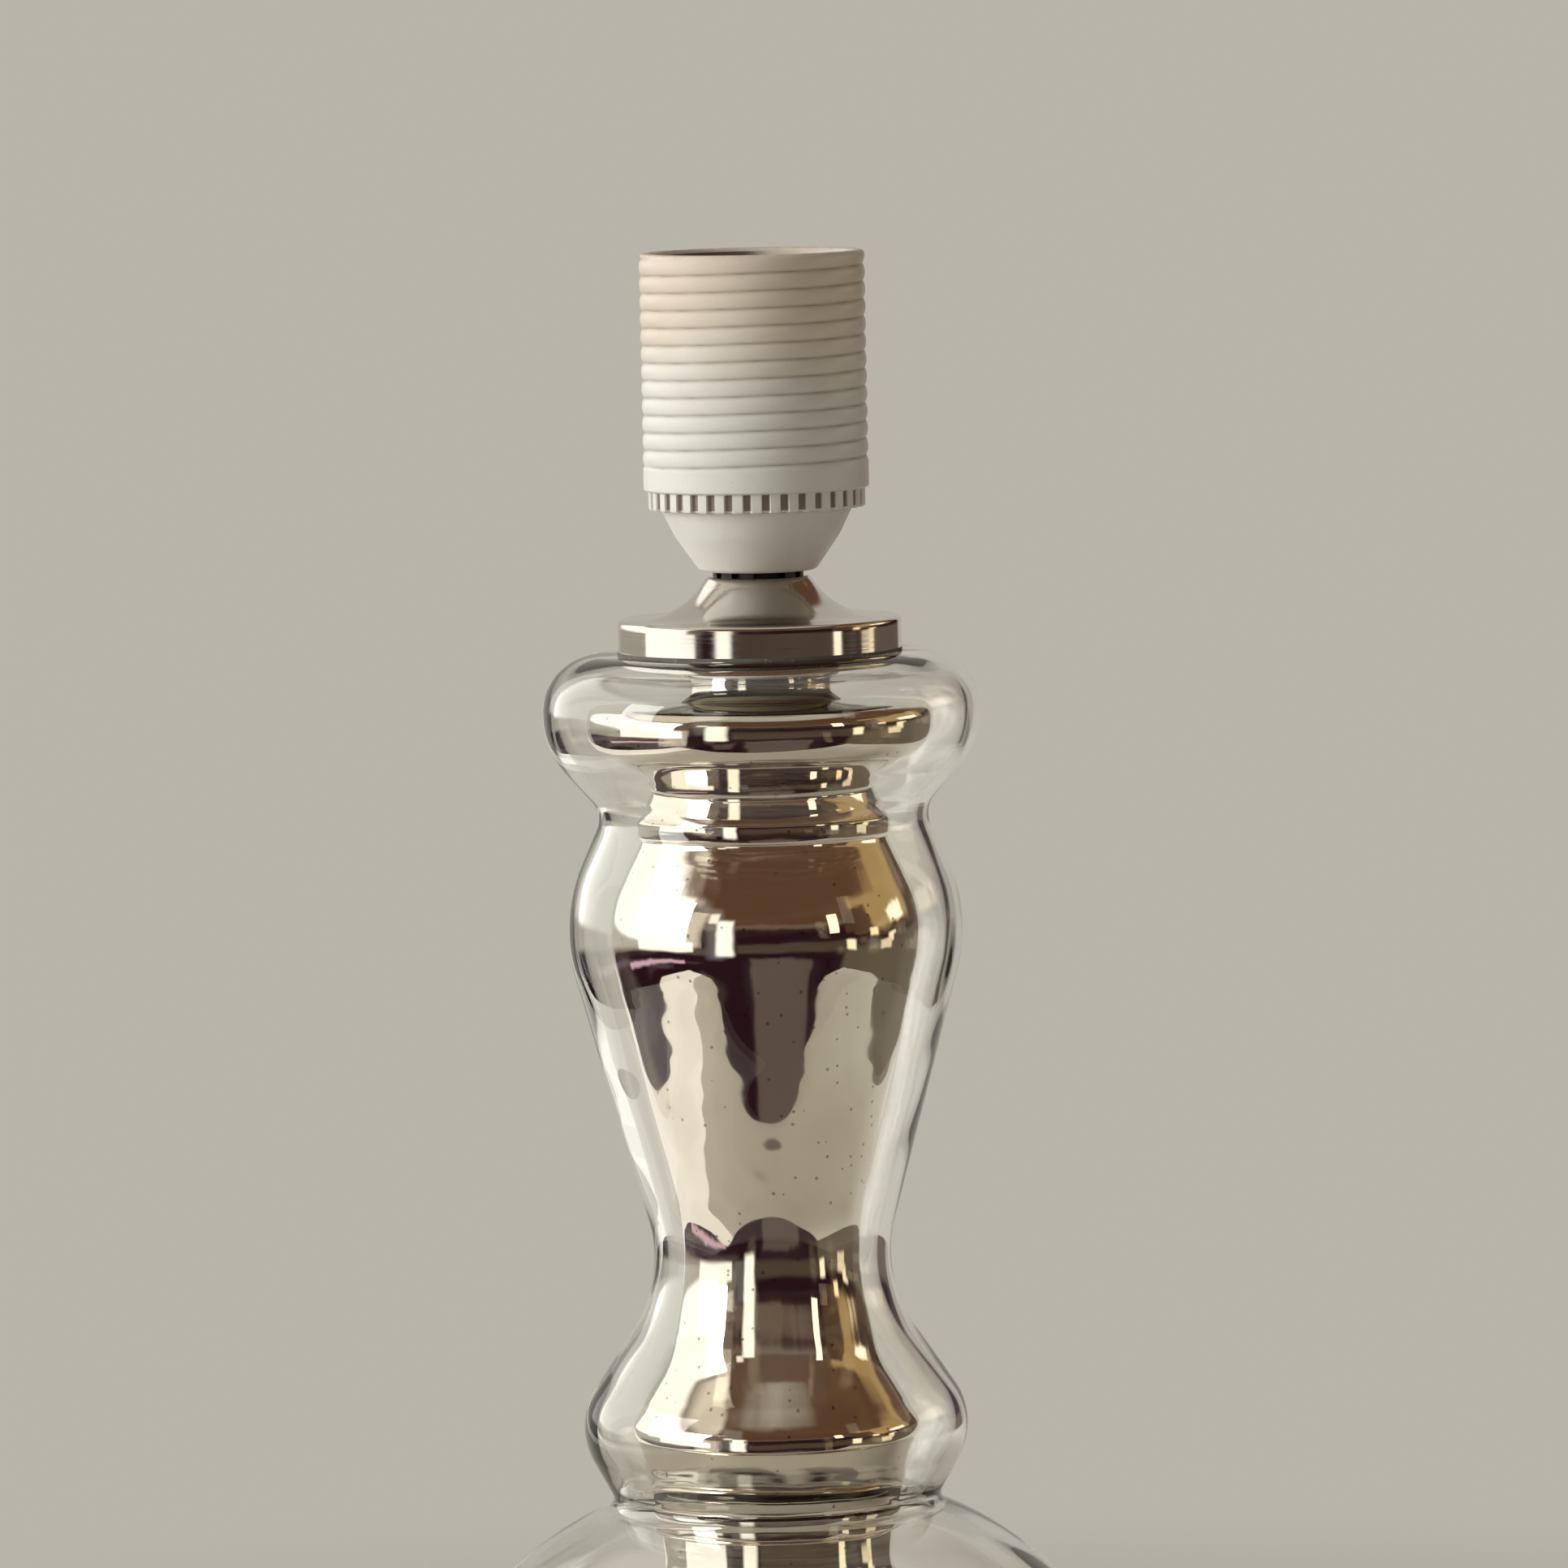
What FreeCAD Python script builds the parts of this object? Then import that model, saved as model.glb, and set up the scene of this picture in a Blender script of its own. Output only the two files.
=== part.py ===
"""Candlestick table lamp: a clear turned glass jacket round a silvered glass column, on a spun metal foot, under
a spun metal cap and a white screw lampholder.

Everything is in millimetres. +Z is up, the origin is the centre of the felt on the table, and the front faces -Y.
Round pieces are turned from outlines: lists of (radius, height, rounding), whose corners are rounded by arcs.
"""
import FreeCAD, Part

import math
import os

# ---------------------------------------------------------------- sizes: foot
felt_thickness = 1.2
cover_thickness = 2.0
pan_ledge = 3.5
pan_height = 12.8
pan_sheet = 1.0
pan_corner = 2.4
cup_radius = 31.0
cup_rise = 9.0
cup_round = 3.0
cup_sheet = 1.2
cup_brim = 3.8
cup_fit = 0.2
cover_clearance = 0.2
felt_inset = 0.6
ballast_thickness = 6.8
ballast_inset = 5.5
ballast_cup_clearance = 0.2
ballast_boss_radius = 5.0
cover_screw_count = 3
cover_screw_radius = 1.5
cover_screw_head_radius = 2.9
cover_screw_head = 1.4
cover_screw_length = 7.0
cover_screw_tip_gap = 0.5
cover_screw_turn = 30.0
cable_slot_width = 9.0
cable_slot_roof = 1.6
gasket_thickness = 1.0
gasket_lap = 1.0
gasket_edge = 0.6

# ---------------------------------------------------------------- sizes: cable inlet at the back of the pan
cable_bore_radius = 2.8
grommet_wall = 0.8
grommet_flange_radius = 4.2
grommet_flange_thickness = 1.8
grommet_inner_thickness = 2.2
grommet_height = 7.6

# ---------------------------------------------------------------- sizes: glass, each rise counted from the turn below
jacket_wall = 2.4
rim_radius = 70.0
rim_height = 3.0
rim_round = 1.3
cove_radius = 65.0
cove_rise = 3.2
cove_round = 5.0
dome_radius = 54.3
dome_rise = 28.4
dome_round = 62.0
low_waist_radius = 28.1
low_waist_rise = 11.3
low_waist_round = 1.8
knop_radius = 36.0
knop_rise = 14.3
knop_round = 12.5
stem_radius = 18.8
stem_rise = 25.0
stem_round = 24.0
swell_radius = 36.5
swell_rise = 64.2
swell_round = 30.0
high_waist_radius = 28.2
high_waist_rise = 18.8
high_waist_round = 5.0
collar_radius = 38.4
collar_rise = 11.5
collar_round = 15.0
shoulder_rise = 16.4
shoulder_round = 10.0
mouth_gap = 2.5

# ---------------------------------------------------------------- sizes: silvered column, set against the jacket
column_wall = 2.0
column_foot_gap = 18.0
column_foot_height = 3.0
column_foot_round = 6.0
column_dome_gap = 10.8
column_dome_drop = 7.1
column_dome_round = 36.0
column_neck_radius = 20.3
column_neck_drop = 12.9
column_ring_radius = 21.7
column_ring_height = 7.0
column_ring_drop = 5.8
column_lip_gap = 10.6
column_lip_height = 3.0
column_lip_step = 0.7
column_flare_radius = 18.3
column_flare_height = 10.8
column_stem_gap = 4.3
column_stem_rise = 5.6
column_swell_gap = 7.9
column_swell_drop = 0.9
column_throat_radius = 21.8
column_throat_drop = 5.4
bead_radius = 22.3
bead_height = 4.6
bead_groove = 0.6
column_waist_gap = 8.9
column_waist_rise = 4.7
crown_gap = 8.0
crown_drop = 9.0
crown_thickness = 7.6
crown_round = 6.5
crown_edge_round = 2.6
crown_slope = 1.7
column_mouth_radius = 12.5
column_mouth_clearance = 1.2

# ---------------------------------------------------------------- sizes: cap and clamping parts
seal_thickness = 0.6
seal_width = 4.0
cap_seal_clearance = 2.0
cap_band_height = 5.4
cap_rise = 7.4
cap_neck_radius = 9.0
cap_throat_radius = 14.0
cap_throat_height = 0.4
cap_curve = 13.5
cap_sheet = 0.8
cap_edge_round = 0.7
tube_radius = 5.0
tube_bore_radius = 3.9
tube_clearance = 0.15
tube_end_below_nut = 1.5
bush_lap = 4.0
bush_flange_thickness = 1.4
bush_roof = 1.6
bush_depth = 8.0
bush_clearance = 0.2
toothed_washer_radius = 8.0
toothed_washer_thickness = 1.0
toothed_washer_teeth = 12
toothed_washer_tooth = 1.4
toothed_washer_notch = 1.6
plain_washer_radius = 14.0
plain_washer_thickness = 1.5
spring_washer_radius = 8.6
spring_washer_thickness = 1.8
nut_width = 17.0
nut_thickness = 4.0

# ---------------------------------------------------------------- sizes: lampholder, heights above its underside
holder_height = 56.0
holder_neck_radius = 10.2
holder_neck_round = 1.6
holder_belly_radius = 14.6
holder_belly_height = 6.4
holder_belly_round = 14.0
holder_top_round = 3.0
holder_dome_height = 11.0
holder_wall = 1.6
spigot_step = 0.4
spigot_shoulder = 0.4
spigot_length = 6.4
spigot_clearance = 0.15
sleeve_radius = 19.8
sleeve_wall = 2.4
sleeve_plain_band = 2.4
sleeve_relief_width = 1.6
sleeve_relief_extra = 0.1
sleeve_groove_pitch = 3.05
sleeve_groove_depth = 0.6
sleeve_groove_width = 1.5
sleeve_groove_floor = 0.7
rim_edge_round = 0.9
thread_start_turn = 200.0
grip_step = 0.75
grip_height = 3.2
grip_notch_count = 36
grip_notch_width = 1.3
grip_notch_depth = 0.55
socket_ledge_depth = 6.5
socket_ledge_thickness = 1.6
socket_bore_radius = 12.2
socket_thread_depth = 1.1
socket_wall = 1.3
socket_length = 22.0
socket_pitch = 3.63
socket_groove_width = 2.4
socket_groove_floor = 1.1
snap_depth = 0.6
snap_bead_height = 1.4
insert_clearance = 0.3
insert_flange_thickness = 2.0
insert_floor_thickness = 6.0
insert_wall = 3.2
key_width = 3.0
key_depth = 0.8
key_clearance = 0.25
entry_bush_radius = 7.5
entry_bush_height = 8.6
entry_boss_wall = 1.6
tube_entry_depth = 7.6
grub_radius = 1.5
grub_length = 6.6
grub_height = 4.2
grub_turn = 60.0
grub_socket_width = 1.5
grub_socket_depth = 1.4

# ---------------------------------------------------------------- sizes: contacts and terminals
strip_thickness = 0.5
strip_lift = 0.1
strip_gap = 0.3
centre_width = 5.0
centre_hinge_x = 5.4
centre_tip_x = -2.6
centre_rise = 2.5
centre_lip = 1.0
foot_length = 5.0
side_width = 4.0
side_hinge_gap = 0.6
side_lean = 1.2
side_rise = 3.3
rivet_radius = 1.1
rivet_head_radius = 1.9
rivet_head = 0.6
rivet_depth = 1.5
terminal_width = 5.0
terminal_depth = 6.0
terminal_height = 6.4
terminal_recess = 2.0
terminal_clearance = 0.1
wire_hole_radius = 1.3
wire_hole_depth = 4.2
terminal_screw_radius = 1.2
terminal_screw_height = 2.1
terminal_screw_reach = 0.4
terminal_screw_head_radius = 2.0
terminal_screw_head = 1.3
terminal_screw_slot = 0.6
screw_head_gap = 0.3

# ---------------------------------------------------------------- levels worked out from the sizes
Z = FreeCAD.Vector(0, 0, 1)
ORIGIN = FreeCAD.Vector(0, 0, 0)
overcut = 1.0

cove_height = rim_height + cove_rise
dome_height = cove_height + dome_rise
low_waist_height = dome_height + low_waist_rise
knop_height = low_waist_height + knop_rise
stem_height = knop_height + stem_rise
swell_height = stem_height + swell_rise
high_waist_height = swell_height + high_waist_rise
collar_height = high_waist_height + collar_rise
shoulder_height = collar_height + shoulder_rise
pan_radius = rim_radius + pan_ledge
mouth_radius = column_mouth_radius + mouth_gap
cap_radius = mouth_radius + bush_lap + cap_seal_clearance + seal_width
grip_radius = sleeve_radius - grip_step
cover_top = felt_thickness + cover_thickness
deck_top = felt_thickness + pan_height
deck_under = deck_top - pan_sheet
cup_top = deck_top + cup_rise
cup_under = cup_top - cup_sheet
cup_brim_radius = cup_radius + cup_brim
cover_radius = pan_radius - pan_sheet - cover_clearance
ballast_radius = pan_radius - ballast_inset
ballast_bore_radius = cup_brim_radius + ballast_cup_clearance
boss_circle_radius = (ballast_radius + ballast_bore_radius) / 2
glass_base = deck_top + gasket_thickness
shoulder_top = glass_base + shoulder_height
cap_base = shoulder_top + seal_thickness
cap_top = cap_base + cap_band_height + cap_rise
holder_base = cap_top + toothed_washer_thickness
holder_top = holder_base + holder_height
sleeve_base = holder_base + holder_dome_height
band_base = sleeve_base + grip_height + grip_step / 2
band_top = band_base + sleeve_plain_band
sleeve_bore_radius = sleeve_radius - sleeve_wall
spigot_radius = sleeve_bore_radius - spigot_clearance
holder_top_radius = spigot_radius - spigot_shoulder
socket_top = holder_top - socket_ledge_depth
socket_base = socket_top - socket_length
insert_base = sleeve_base + spigot_length
insert_floor = insert_base + insert_floor_thickness
insert_radius = sleeve_bore_radius - insert_clearance
snap_bead_radius = sleeve_bore_radius - snap_depth
snap_bead_base = insert_base + insert_flange_thickness + insert_clearance
foot_mid_x = centre_hinge_x + foot_length / 2
terminal_top = insert_base + terminal_recess
terminal_base = terminal_top - terminal_height
spring_washer_base = cup_under - plain_washer_thickness - spring_washer_thickness
nut_base = spring_washer_base - nut_thickness
tube_base = nut_base - tube_end_below_nut


def ring_cylinder(inner, outer, low, high):
    """A plain ring about the Z axis, or a disc where inner is 0."""
    body = Part.makeCylinder(outer, high - low, FreeCAD.Vector(0, 0, low))
    if inner > 0:
        body = body.cut(Part.makeCylinder(inner, high - low + 2 * overcut, FreeCAD.Vector(0, 0, low - overcut)))
    return body


def turn_half_angle(before, point, after):
    """Half the angle between the two sides that meet at a corner."""
    a = FreeCAD.Vector(before[0] - point[0], 0, before[1] - point[1])
    b = FreeCAD.Vector(after[0] - point[0], 0, after[1] - point[1])
    return a.getAngle(b) / 2


def roundings(points):
    """How far each corner's arc reaches along its sides, where two arcs never share a stretch of one side."""
    reach = [0.0] * len(points)
    for i in range(1, len(points) - 1):
        radius = points[i][2] if len(points[i]) > 2 else 0
        half = turn_half_angle(points[i - 1], points[i], points[i + 1])
        if radius and half > 1e-4 and math.pi / 2 - half > 1e-4:
            reach[i] = radius / math.tan(half)
    limit = [1.0] * len(points)
    for i in range(len(points) - 1):
        side = math.hypot(points[i + 1][0] - points[i][0], points[i + 1][1] - points[i][1])
        if reach[i] + reach[i + 1] > side:
            share = 0.999 * side / (reach[i] + reach[i + 1])
            limit[i] = min(limit[i], share)
            limit[i + 1] = min(limit[i + 1], share)
    return [r * k for r, k in zip(reach, limit)]


def corner_arc(before, point, after, reach):
    """The start, middle and end of the arc that rounds a corner and touches its sides at that reach."""
    half = turn_half_angle(before, point, after)
    radius = reach * math.tan(half)
    tip = FreeCAD.Vector(point[0], 0, point[1])
    a = FreeCAD.Vector(before[0] - point[0], 0, before[1] - point[1]).normalize()
    b = FreeCAD.Vector(after[0] - point[0], 0, after[1] - point[1]).normalize()
    middle = (a + b).normalize() * (radius / math.sin(half) - radius)
    return tip + a * reach, tip + middle, tip + b * reach


def outline_edges(points):
    """Straight runs joined by tangent arcs, in the XZ plane, through an open list of (radius, height, rounding)."""
    edges = []
    at = None
    reach = roundings(points)
    for i, point in enumerate(points):
        if reach[i]:
            arc = corner_arc(points[i - 1], point, points[i + 1], reach[i])
            start, end = arc[0], arc[2]
        else:
            arc = None
            start = end = FreeCAD.Vector(point[0], 0, point[1])
        if at is not None and at.distanceToPoint(start) > 1e-6:
            edges.append(Part.LineSegment(at, start).toShape())
        if arc:
            edges.append(Part.Arc(*arc).toShape())
        at = end
    return edges


def turned(points):
    """The solid that a closed outline of (radius, height, rounding) sweeps round the Z axis."""
    closed = list(points) + [points[0][:2]]
    first = (points[0][0], points[0][1])
    edges = outline_edges([first] + closed[1:])
    return Part.Face(Part.Wire(edges)).revolve(ORIGIN, Z, 360)


def inset(points, distance):
    """The same open outline, moved sideways by distance, to the left of its direction, with its roundings to suit."""
    lines = []
    for p, q in zip(points, points[1:]):
        run = math.hypot(q[0] - p[0], q[1] - p[1])
        nx, ny = -(q[1] - p[1]) / run, (q[0] - p[0]) / run
        lines.append(((p[0] + nx * distance, p[1] + ny * distance), (q[0] - p[0], q[1] - p[1])))
    moved = [lines[0][0]]
    for i in range(1, len(lines)):
        (x1, y1), (dx1, dy1) = lines[i - 1]
        (x2, y2), (dx2, dy2) = lines[i]
        cross = dx1 * dy2 - dy1 * dx2
        along = ((x2 - x1) * dy2 - (y2 - y1) * dx2) / cross
        rounding = points[i][2] if len(points[i]) > 2 else 0
        if rounding:
            rounding = max(rounding - math.copysign(distance, cross), min(rounding, abs(distance)) / 2)
        moved.append((x1 + dx1 * along, y1 + dy1 * along, rounding))
    (x, y), (dx, dy) = lines[-1]
    moved.append((x + dx, y + dy))
    return moved


def lifted(points, height):
    """An outline raised by height."""
    return [(p[0], p[1] + height) + tuple(p[2:]) for p in points]


def shell(points, wall):
    """A turned wall whose outside is the outline, which runs upwards, so that its inside is on the left."""
    return turned(list(points) + inset(points, wall)[::-1])


def helical_cuts(radius_low, radius_high, width_low, width_high, pitch, low, high, share):
    """A helical groove of trapezium section between two radii, its width given at each, in shares of a turn."""
    cuts = []
    for i in range(math.ceil((high - low) / (pitch * share))):
        path = Part.makeHelix(pitch, pitch * share, (radius_low + radius_high) / 2)
        section = Part.makePolygon([
            FreeCAD.Vector(radius_low, 0, -width_low / 2),
            FreeCAD.Vector(radius_high, 0, -width_high / 2),
            FreeCAD.Vector(radius_high, 0, width_high / 2),
            FreeCAD.Vector(radius_low, 0, width_low / 2),
            FreeCAD.Vector(radius_low, 0, -width_low / 2),
        ])
        groove = Part.Wire(path).makePipeShell([section], True, True)
        groove.translate(Z * (low + i * pitch * share))
        groove.rotate(ORIGIN, Z, thread_start_turn + 360.0 * i * share)
        cuts.append(groove)
    return cuts


def box_between(low, high):
    """A box between two corners."""
    size = [b - a for a, b in zip(low, high)]
    return Part.makeBox(*size, FreeCAD.Vector(*low))


def round_about(shape, count, first=0.0):
    """Copies of a shape spaced evenly about the Z axis."""
    copies = []
    for i in range(count):
        copy = shape.copy()
        copy.rotate(ORIGIN, Z, first + 360.0 * i / count)
        copies.append(copy)
    return copies


# ---------------------------------------------------------------- glass outlines
def jacket_outline():
    """The outside of the clear jacket, from its rim up to its mouth."""
    return lifted([
        (rim_radius, 0),
        (rim_radius, rim_height, rim_round),
        (cove_radius, cove_height, cove_round),
        (dome_radius, dome_height, dome_round),
        (low_waist_radius, low_waist_height, low_waist_round),
        (knop_radius, knop_height, knop_round),
        (stem_radius, stem_height, stem_round),
        (swell_radius, swell_height, swell_round),
        (high_waist_radius, high_waist_height, high_waist_round),
        (collar_radius, collar_height, collar_round),
        (collar_radius, shoulder_height, shoulder_round),
        (mouth_radius, shoulder_height),
    ], glass_base)


def column_outline():
    """The outside of the silvered column, from its foot up to its mouth, each turn set in from the jacket's own."""
    lip_radius = knop_radius - column_lip_gap
    ring_base = low_waist_height - column_ring_drop
    crown_top = shoulder_height - crown_drop
    crown_radius = collar_radius - crown_gap
    throat = high_waist_height - column_throat_drop
    bead_top = throat + bead_height
    return lifted([
        (rim_radius - column_foot_gap, 0),
        (rim_radius - column_foot_gap, column_foot_height, column_foot_round),
        (dome_radius - column_dome_gap, dome_height - column_dome_drop, column_dome_round),
        (column_neck_radius, low_waist_height - column_neck_drop, 2.0),
        (column_neck_radius, ring_base),
        (column_ring_radius, ring_base + 0.5, 0.5),
        (column_ring_radius, ring_base + column_ring_height, 0.4),
        (lip_radius - column_lip_step, knop_height - column_lip_height),
        (lip_radius, knop_height - column_lip_height + 0.4, 0.3),
        (lip_radius - 0.1, knop_height, 3.0),
        (column_flare_radius, knop_height + column_flare_height, 15.0),
        (stem_radius - column_stem_gap, stem_height + column_stem_rise, 41.0),
        (swell_radius - column_swell_gap, swell_height - column_swell_drop, 21.0),
        (column_throat_radius, throat, 6.0),
        (bead_radius - bead_groove, throat + bead_groove, 0.3),
        (bead_radius, throat + 2 * bead_groove, 1.0),
        (bead_radius, bead_top, 1.4),
        (high_waist_radius - column_waist_gap, high_waist_height + column_waist_rise, 0.9),
        (crown_radius, crown_top - crown_thickness, crown_round),
        (crown_radius, crown_top, crown_edge_round),
        (column_mouth_radius, crown_top + crown_slope, 3.5),
        (column_mouth_radius, shoulder_height + column_mouth_clearance),
    ], glass_base)


def cap_outline():
    """The outside of the spun cap: a plain band under a trumpet that narrows to the lampholder."""
    return lifted([
        (cap_radius, 0),
        (cap_radius, cap_band_height, cap_edge_round),
        (cap_throat_radius, cap_band_height + cap_throat_height, cap_curve),
        (cap_neck_radius, cap_band_height + cap_rise, cap_edge_round),
        (tube_radius + tube_clearance, cap_band_height + cap_rise),
    ], cap_base)


def dome_outline():
    """The outside of the lampholder's dome, with the neck that goes up into the sleeve."""
    return lifted([
        (entry_bush_radius, 0),
        (holder_neck_radius, 0, holder_neck_round),
        (holder_belly_radius, holder_belly_height, holder_belly_round),
        (holder_top_radius, holder_dome_height, holder_top_round),
        (holder_top_radius, holder_dome_height + spigot_length),
    ], holder_base)


# ---------------------------------------------------------------- foot
def felt_pad():
    return ring_cylinder(0, pan_radius - felt_inset, 0, felt_thickness)


def cover_screw(clearance=0.0):
    """One countersunk screw on the Z axis, its flat head at the cover's underside."""
    head_top = felt_thickness + cover_screw_head
    return turned([
        (0, felt_thickness),
        (cover_screw_head_radius, felt_thickness),
        (cover_screw_radius, head_top),
        (cover_screw_radius, felt_thickness + cover_screw_length + clearance),
        (0, felt_thickness + cover_screw_length + clearance),
    ])


def cover_screw_places(shape):
    """Copies of a shape on the three screw positions."""
    shape.translate(FreeCAD.Vector(boss_circle_radius, 0, 0))
    return round_about(shape, cover_screw_count, cover_screw_turn)


def base_cover():
    plate = ring_cylinder(0, cover_radius, felt_thickness, cover_top)
    return plate.cut(cover_screw_places(cover_screw()))


def cover_screws():
    slot = box_between((-cover_screw_head_radius, -0.4, felt_thickness - overcut),
                       (cover_screw_head_radius, 0.4, felt_thickness + 0.7))
    return Part.makeCompound(cover_screw_places(cover_screw().cut(slot)))


def ballast_ring():
    ring = ring_cylinder(ballast_bore_radius, ballast_radius, deck_under - ballast_thickness, deck_under)
    boss = Part.makeCylinder(ballast_boss_radius, deck_under - overcut - cover_top, FreeCAD.Vector(0, 0, cover_top))
    ring = ring.fuse(cover_screw_places(boss))
    slot = box_between((-cable_slot_width / 2, 0, cover_top - overcut),
                       (cable_slot_width / 2, pan_radius, deck_under - cable_slot_roof))
    return ring.cut([slot] + cover_screw_places(cover_screw(cover_screw_tip_gap)))


def inlet_cylinder(radius, near, far):
    """A round bar along +Y at the cable inlet's height."""
    return Part.makeCylinder(radius, far - near, FreeCAD.Vector(0, near, grommet_height), FreeCAD.Vector(0, 1, 0))


def base_pan():
    shell_body = shell([
        (pan_radius, felt_thickness),
        (pan_radius, deck_top, pan_corner),
        (cup_radius + cup_fit, deck_top),
    ], pan_sheet)
    return shell_body.cut(inlet_cylinder(cable_bore_radius + grommet_wall, 0, pan_radius + overcut))


def clamp_cup():
    """The pressed cup that the tube's nut pulls up against the pan's deck: its brim lies under the deck.

    The bend between wall and brim is no larger than the fit, so that it stays clear of the deck's edge.
    """
    return shell([
        (cup_brim_radius, deck_under),
        (cup_radius, deck_under, cup_fit),
        (cup_radius, cup_top, cup_round),
        (tube_radius + tube_clearance, cup_top),
    ], cup_sheet)


def cable_grommet():
    outer_face = pan_radius + grommet_flange_thickness
    inner_face = pan_radius - pan_sheet - grommet_inner_thickness
    flanges = inlet_cylinder(grommet_flange_radius, inner_face, outer_face)
    sheet = ring_cylinder(pan_radius - pan_sheet, pan_radius, felt_thickness, deck_top + overcut)
    neck = inlet_cylinder(cable_bore_radius + grommet_wall, inner_face, outer_face)
    return flanges.cut(sheet).fuse(neck).cut(inlet_cylinder(cable_bore_radius, 0, outer_face + overcut)).removeSplitter()


def rim_gasket():
    inner = rim_radius - column_foot_gap - column_wall - gasket_lap
    return ring_cylinder(inner, rim_radius + gasket_edge, deck_top, glass_base)


# ---------------------------------------------------------------- glass and cap
def glass_jacket():
    return shell(jacket_outline(), jacket_wall)


def silvered_column():
    return shell(column_outline(), column_wall)


def centring_bush():
    """A plastic bush that fits inside the column's mouth and the jacket's, and round the tube."""
    column_bore = column_mouth_radius - column_wall
    seat = shoulder_top + column_mouth_clearance + bush_clearance
    top = seat + bush_roof
    return turned([
        (tube_radius + tube_clearance, shoulder_top - bush_depth),
        (column_bore - bush_clearance, shoulder_top - bush_depth, 0.6),
        (column_bore - bush_clearance, seat),
        (column_mouth_radius + bush_clearance, seat),
        (column_mouth_radius + bush_clearance, shoulder_top - jacket_wall),
        (mouth_radius - bush_clearance, shoulder_top - jacket_wall),
        (mouth_radius - bush_clearance, shoulder_top),
        (mouth_radius + bush_lap, shoulder_top),
        (mouth_radius + bush_lap, shoulder_top + bush_flange_thickness, 0.4),
        (mouth_radius, top, 0.6),
        (tube_radius + tube_clearance, top),
    ])


def cap_seal():
    return ring_cylinder(cap_radius - seal_width, cap_radius, shoulder_top, cap_base)


def metal_cap():
    return shell(cap_outline(), cap_sheet)


def threaded_tube():
    return ring_cylinder(tube_bore_radius, tube_radius, tube_base, holder_base + tube_entry_depth)


def bottom_washer():
    return ring_cylinder(tube_radius + tube_clearance, plain_washer_radius, cup_under - plain_washer_thickness, cup_under)


def bottom_spring_washer():
    ring = ring_cylinder(tube_radius + tube_clearance, spring_washer_radius, spring_washer_base,
                         spring_washer_base + spring_washer_thickness)
    gap = box_between((0, -0.6, spring_washer_base - overcut),
                      (spring_washer_radius + overcut, 0.6, spring_washer_base + spring_washer_thickness + overcut))
    return ring.cut(gap)


def bottom_nut():
    points = []
    for i in range(7):
        turn = math.radians(60 * i)
        reach = nut_width / math.sqrt(3)
        points.append(FreeCAD.Vector(reach * math.cos(turn), reach * math.sin(turn), nut_base))
    hexagon = Part.Face(Part.makePolygon(points)).extrude(Z * nut_thickness)
    return hexagon.cut(Part.makeCylinder(tube_radius, nut_thickness + 2 * overcut, Z * (nut_base - overcut)))


def toothed_washer():
    ring = ring_cylinder(tube_radius + tube_clearance, toothed_washer_radius, cap_top, holder_base)
    notch = box_between((toothed_washer_radius - toothed_washer_tooth, -toothed_washer_notch / 2, cap_top - overcut),
                        (toothed_washer_radius + overcut, toothed_washer_notch / 2, holder_base + overcut))
    return ring.cut(round_about(notch, toothed_washer_teeth))


# ---------------------------------------------------------------- lampholder
def grub_bar(radius, near, far):
    """A bar along the grub screw's own line, square to the tube."""
    bar = Part.makeCylinder(radius, far - near, FreeCAD.Vector(near, 0, holder_base + grub_height), FreeCAD.Vector(1, 0, 0))
    bar.rotate(ORIGIN, Z, grub_turn)
    return bar


def insert_keys(clearance=0.0):
    """Two keys under the insert, or with a clearance the notches that take them."""
    half = key_width / 2 + clearance
    return [box_between((-spigot_radius - overcut, -half, insert_base - key_depth - clearance),
                        (spigot_radius + overcut, half, insert_base))]


def lampholder_dome():
    body = shell(dome_outline(), holder_wall)
    spigot = ring_cylinder(holder_top_radius - holder_wall, spigot_radius, sleeve_base + spigot_step, insert_base)
    boss = ring_cylinder(entry_bush_radius, entry_bush_radius + entry_boss_wall, holder_base + holder_wall / 2,
                         holder_base + entry_bush_height)
    body = body.fuse([spigot, boss])
    return body.cut([grub_bar(grub_radius, 0, holder_top_radius)] + insert_keys(key_clearance)).removeSplitter()


def entry_bush():
    body = ring_cylinder(tube_radius, entry_bush_radius, holder_base, holder_base + tube_entry_depth)
    guard = ring_cylinder(tube_bore_radius, entry_bush_radius, holder_base + tube_entry_depth,
                          holder_base + entry_bush_height)
    return body.fuse(guard).cut(grub_bar(grub_radius, 0, holder_top_radius)).removeSplitter()


def lock_grub_screw():
    tip = tube_radius
    screw = grub_bar(grub_radius, tip, tip + grub_length)
    reach = grub_socket_width / math.sqrt(3)
    points = [FreeCAD.Vector(0, reach * math.cos(math.radians(60 * i)), reach * math.sin(math.radians(60 * i)))
              for i in range(7)]
    socket = Part.Face(Part.makePolygon(points)).extrude(FreeCAD.Vector(grub_socket_depth + overcut, 0, 0))
    socket.translate(FreeCAD.Vector(tip + grub_length - grub_socket_depth, 0, holder_base + grub_height))
    socket.rotate(ORIGIN, Z, grub_turn)
    return screw.cut(socket)


def lamp_thread():
    """The lamp thread's grooves, from the top one down, as part of the sleeve's outline."""
    root_radius = socket_bore_radius + socket_thread_depth
    count = int((socket_length - socket_pitch / 2) / socket_pitch)
    points = []
    for i in range(count):
        middle = socket_top - socket_pitch * (i + 0.5) - socket_groove_width / 4
        points += [
            (socket_bore_radius, middle + socket_groove_width / 2),
            (root_radius, middle + socket_groove_floor / 2),
            (root_radius, middle - socket_groove_floor / 2),
            (socket_bore_radius, middle - socket_groove_width / 2),
        ]
    return points


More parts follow.
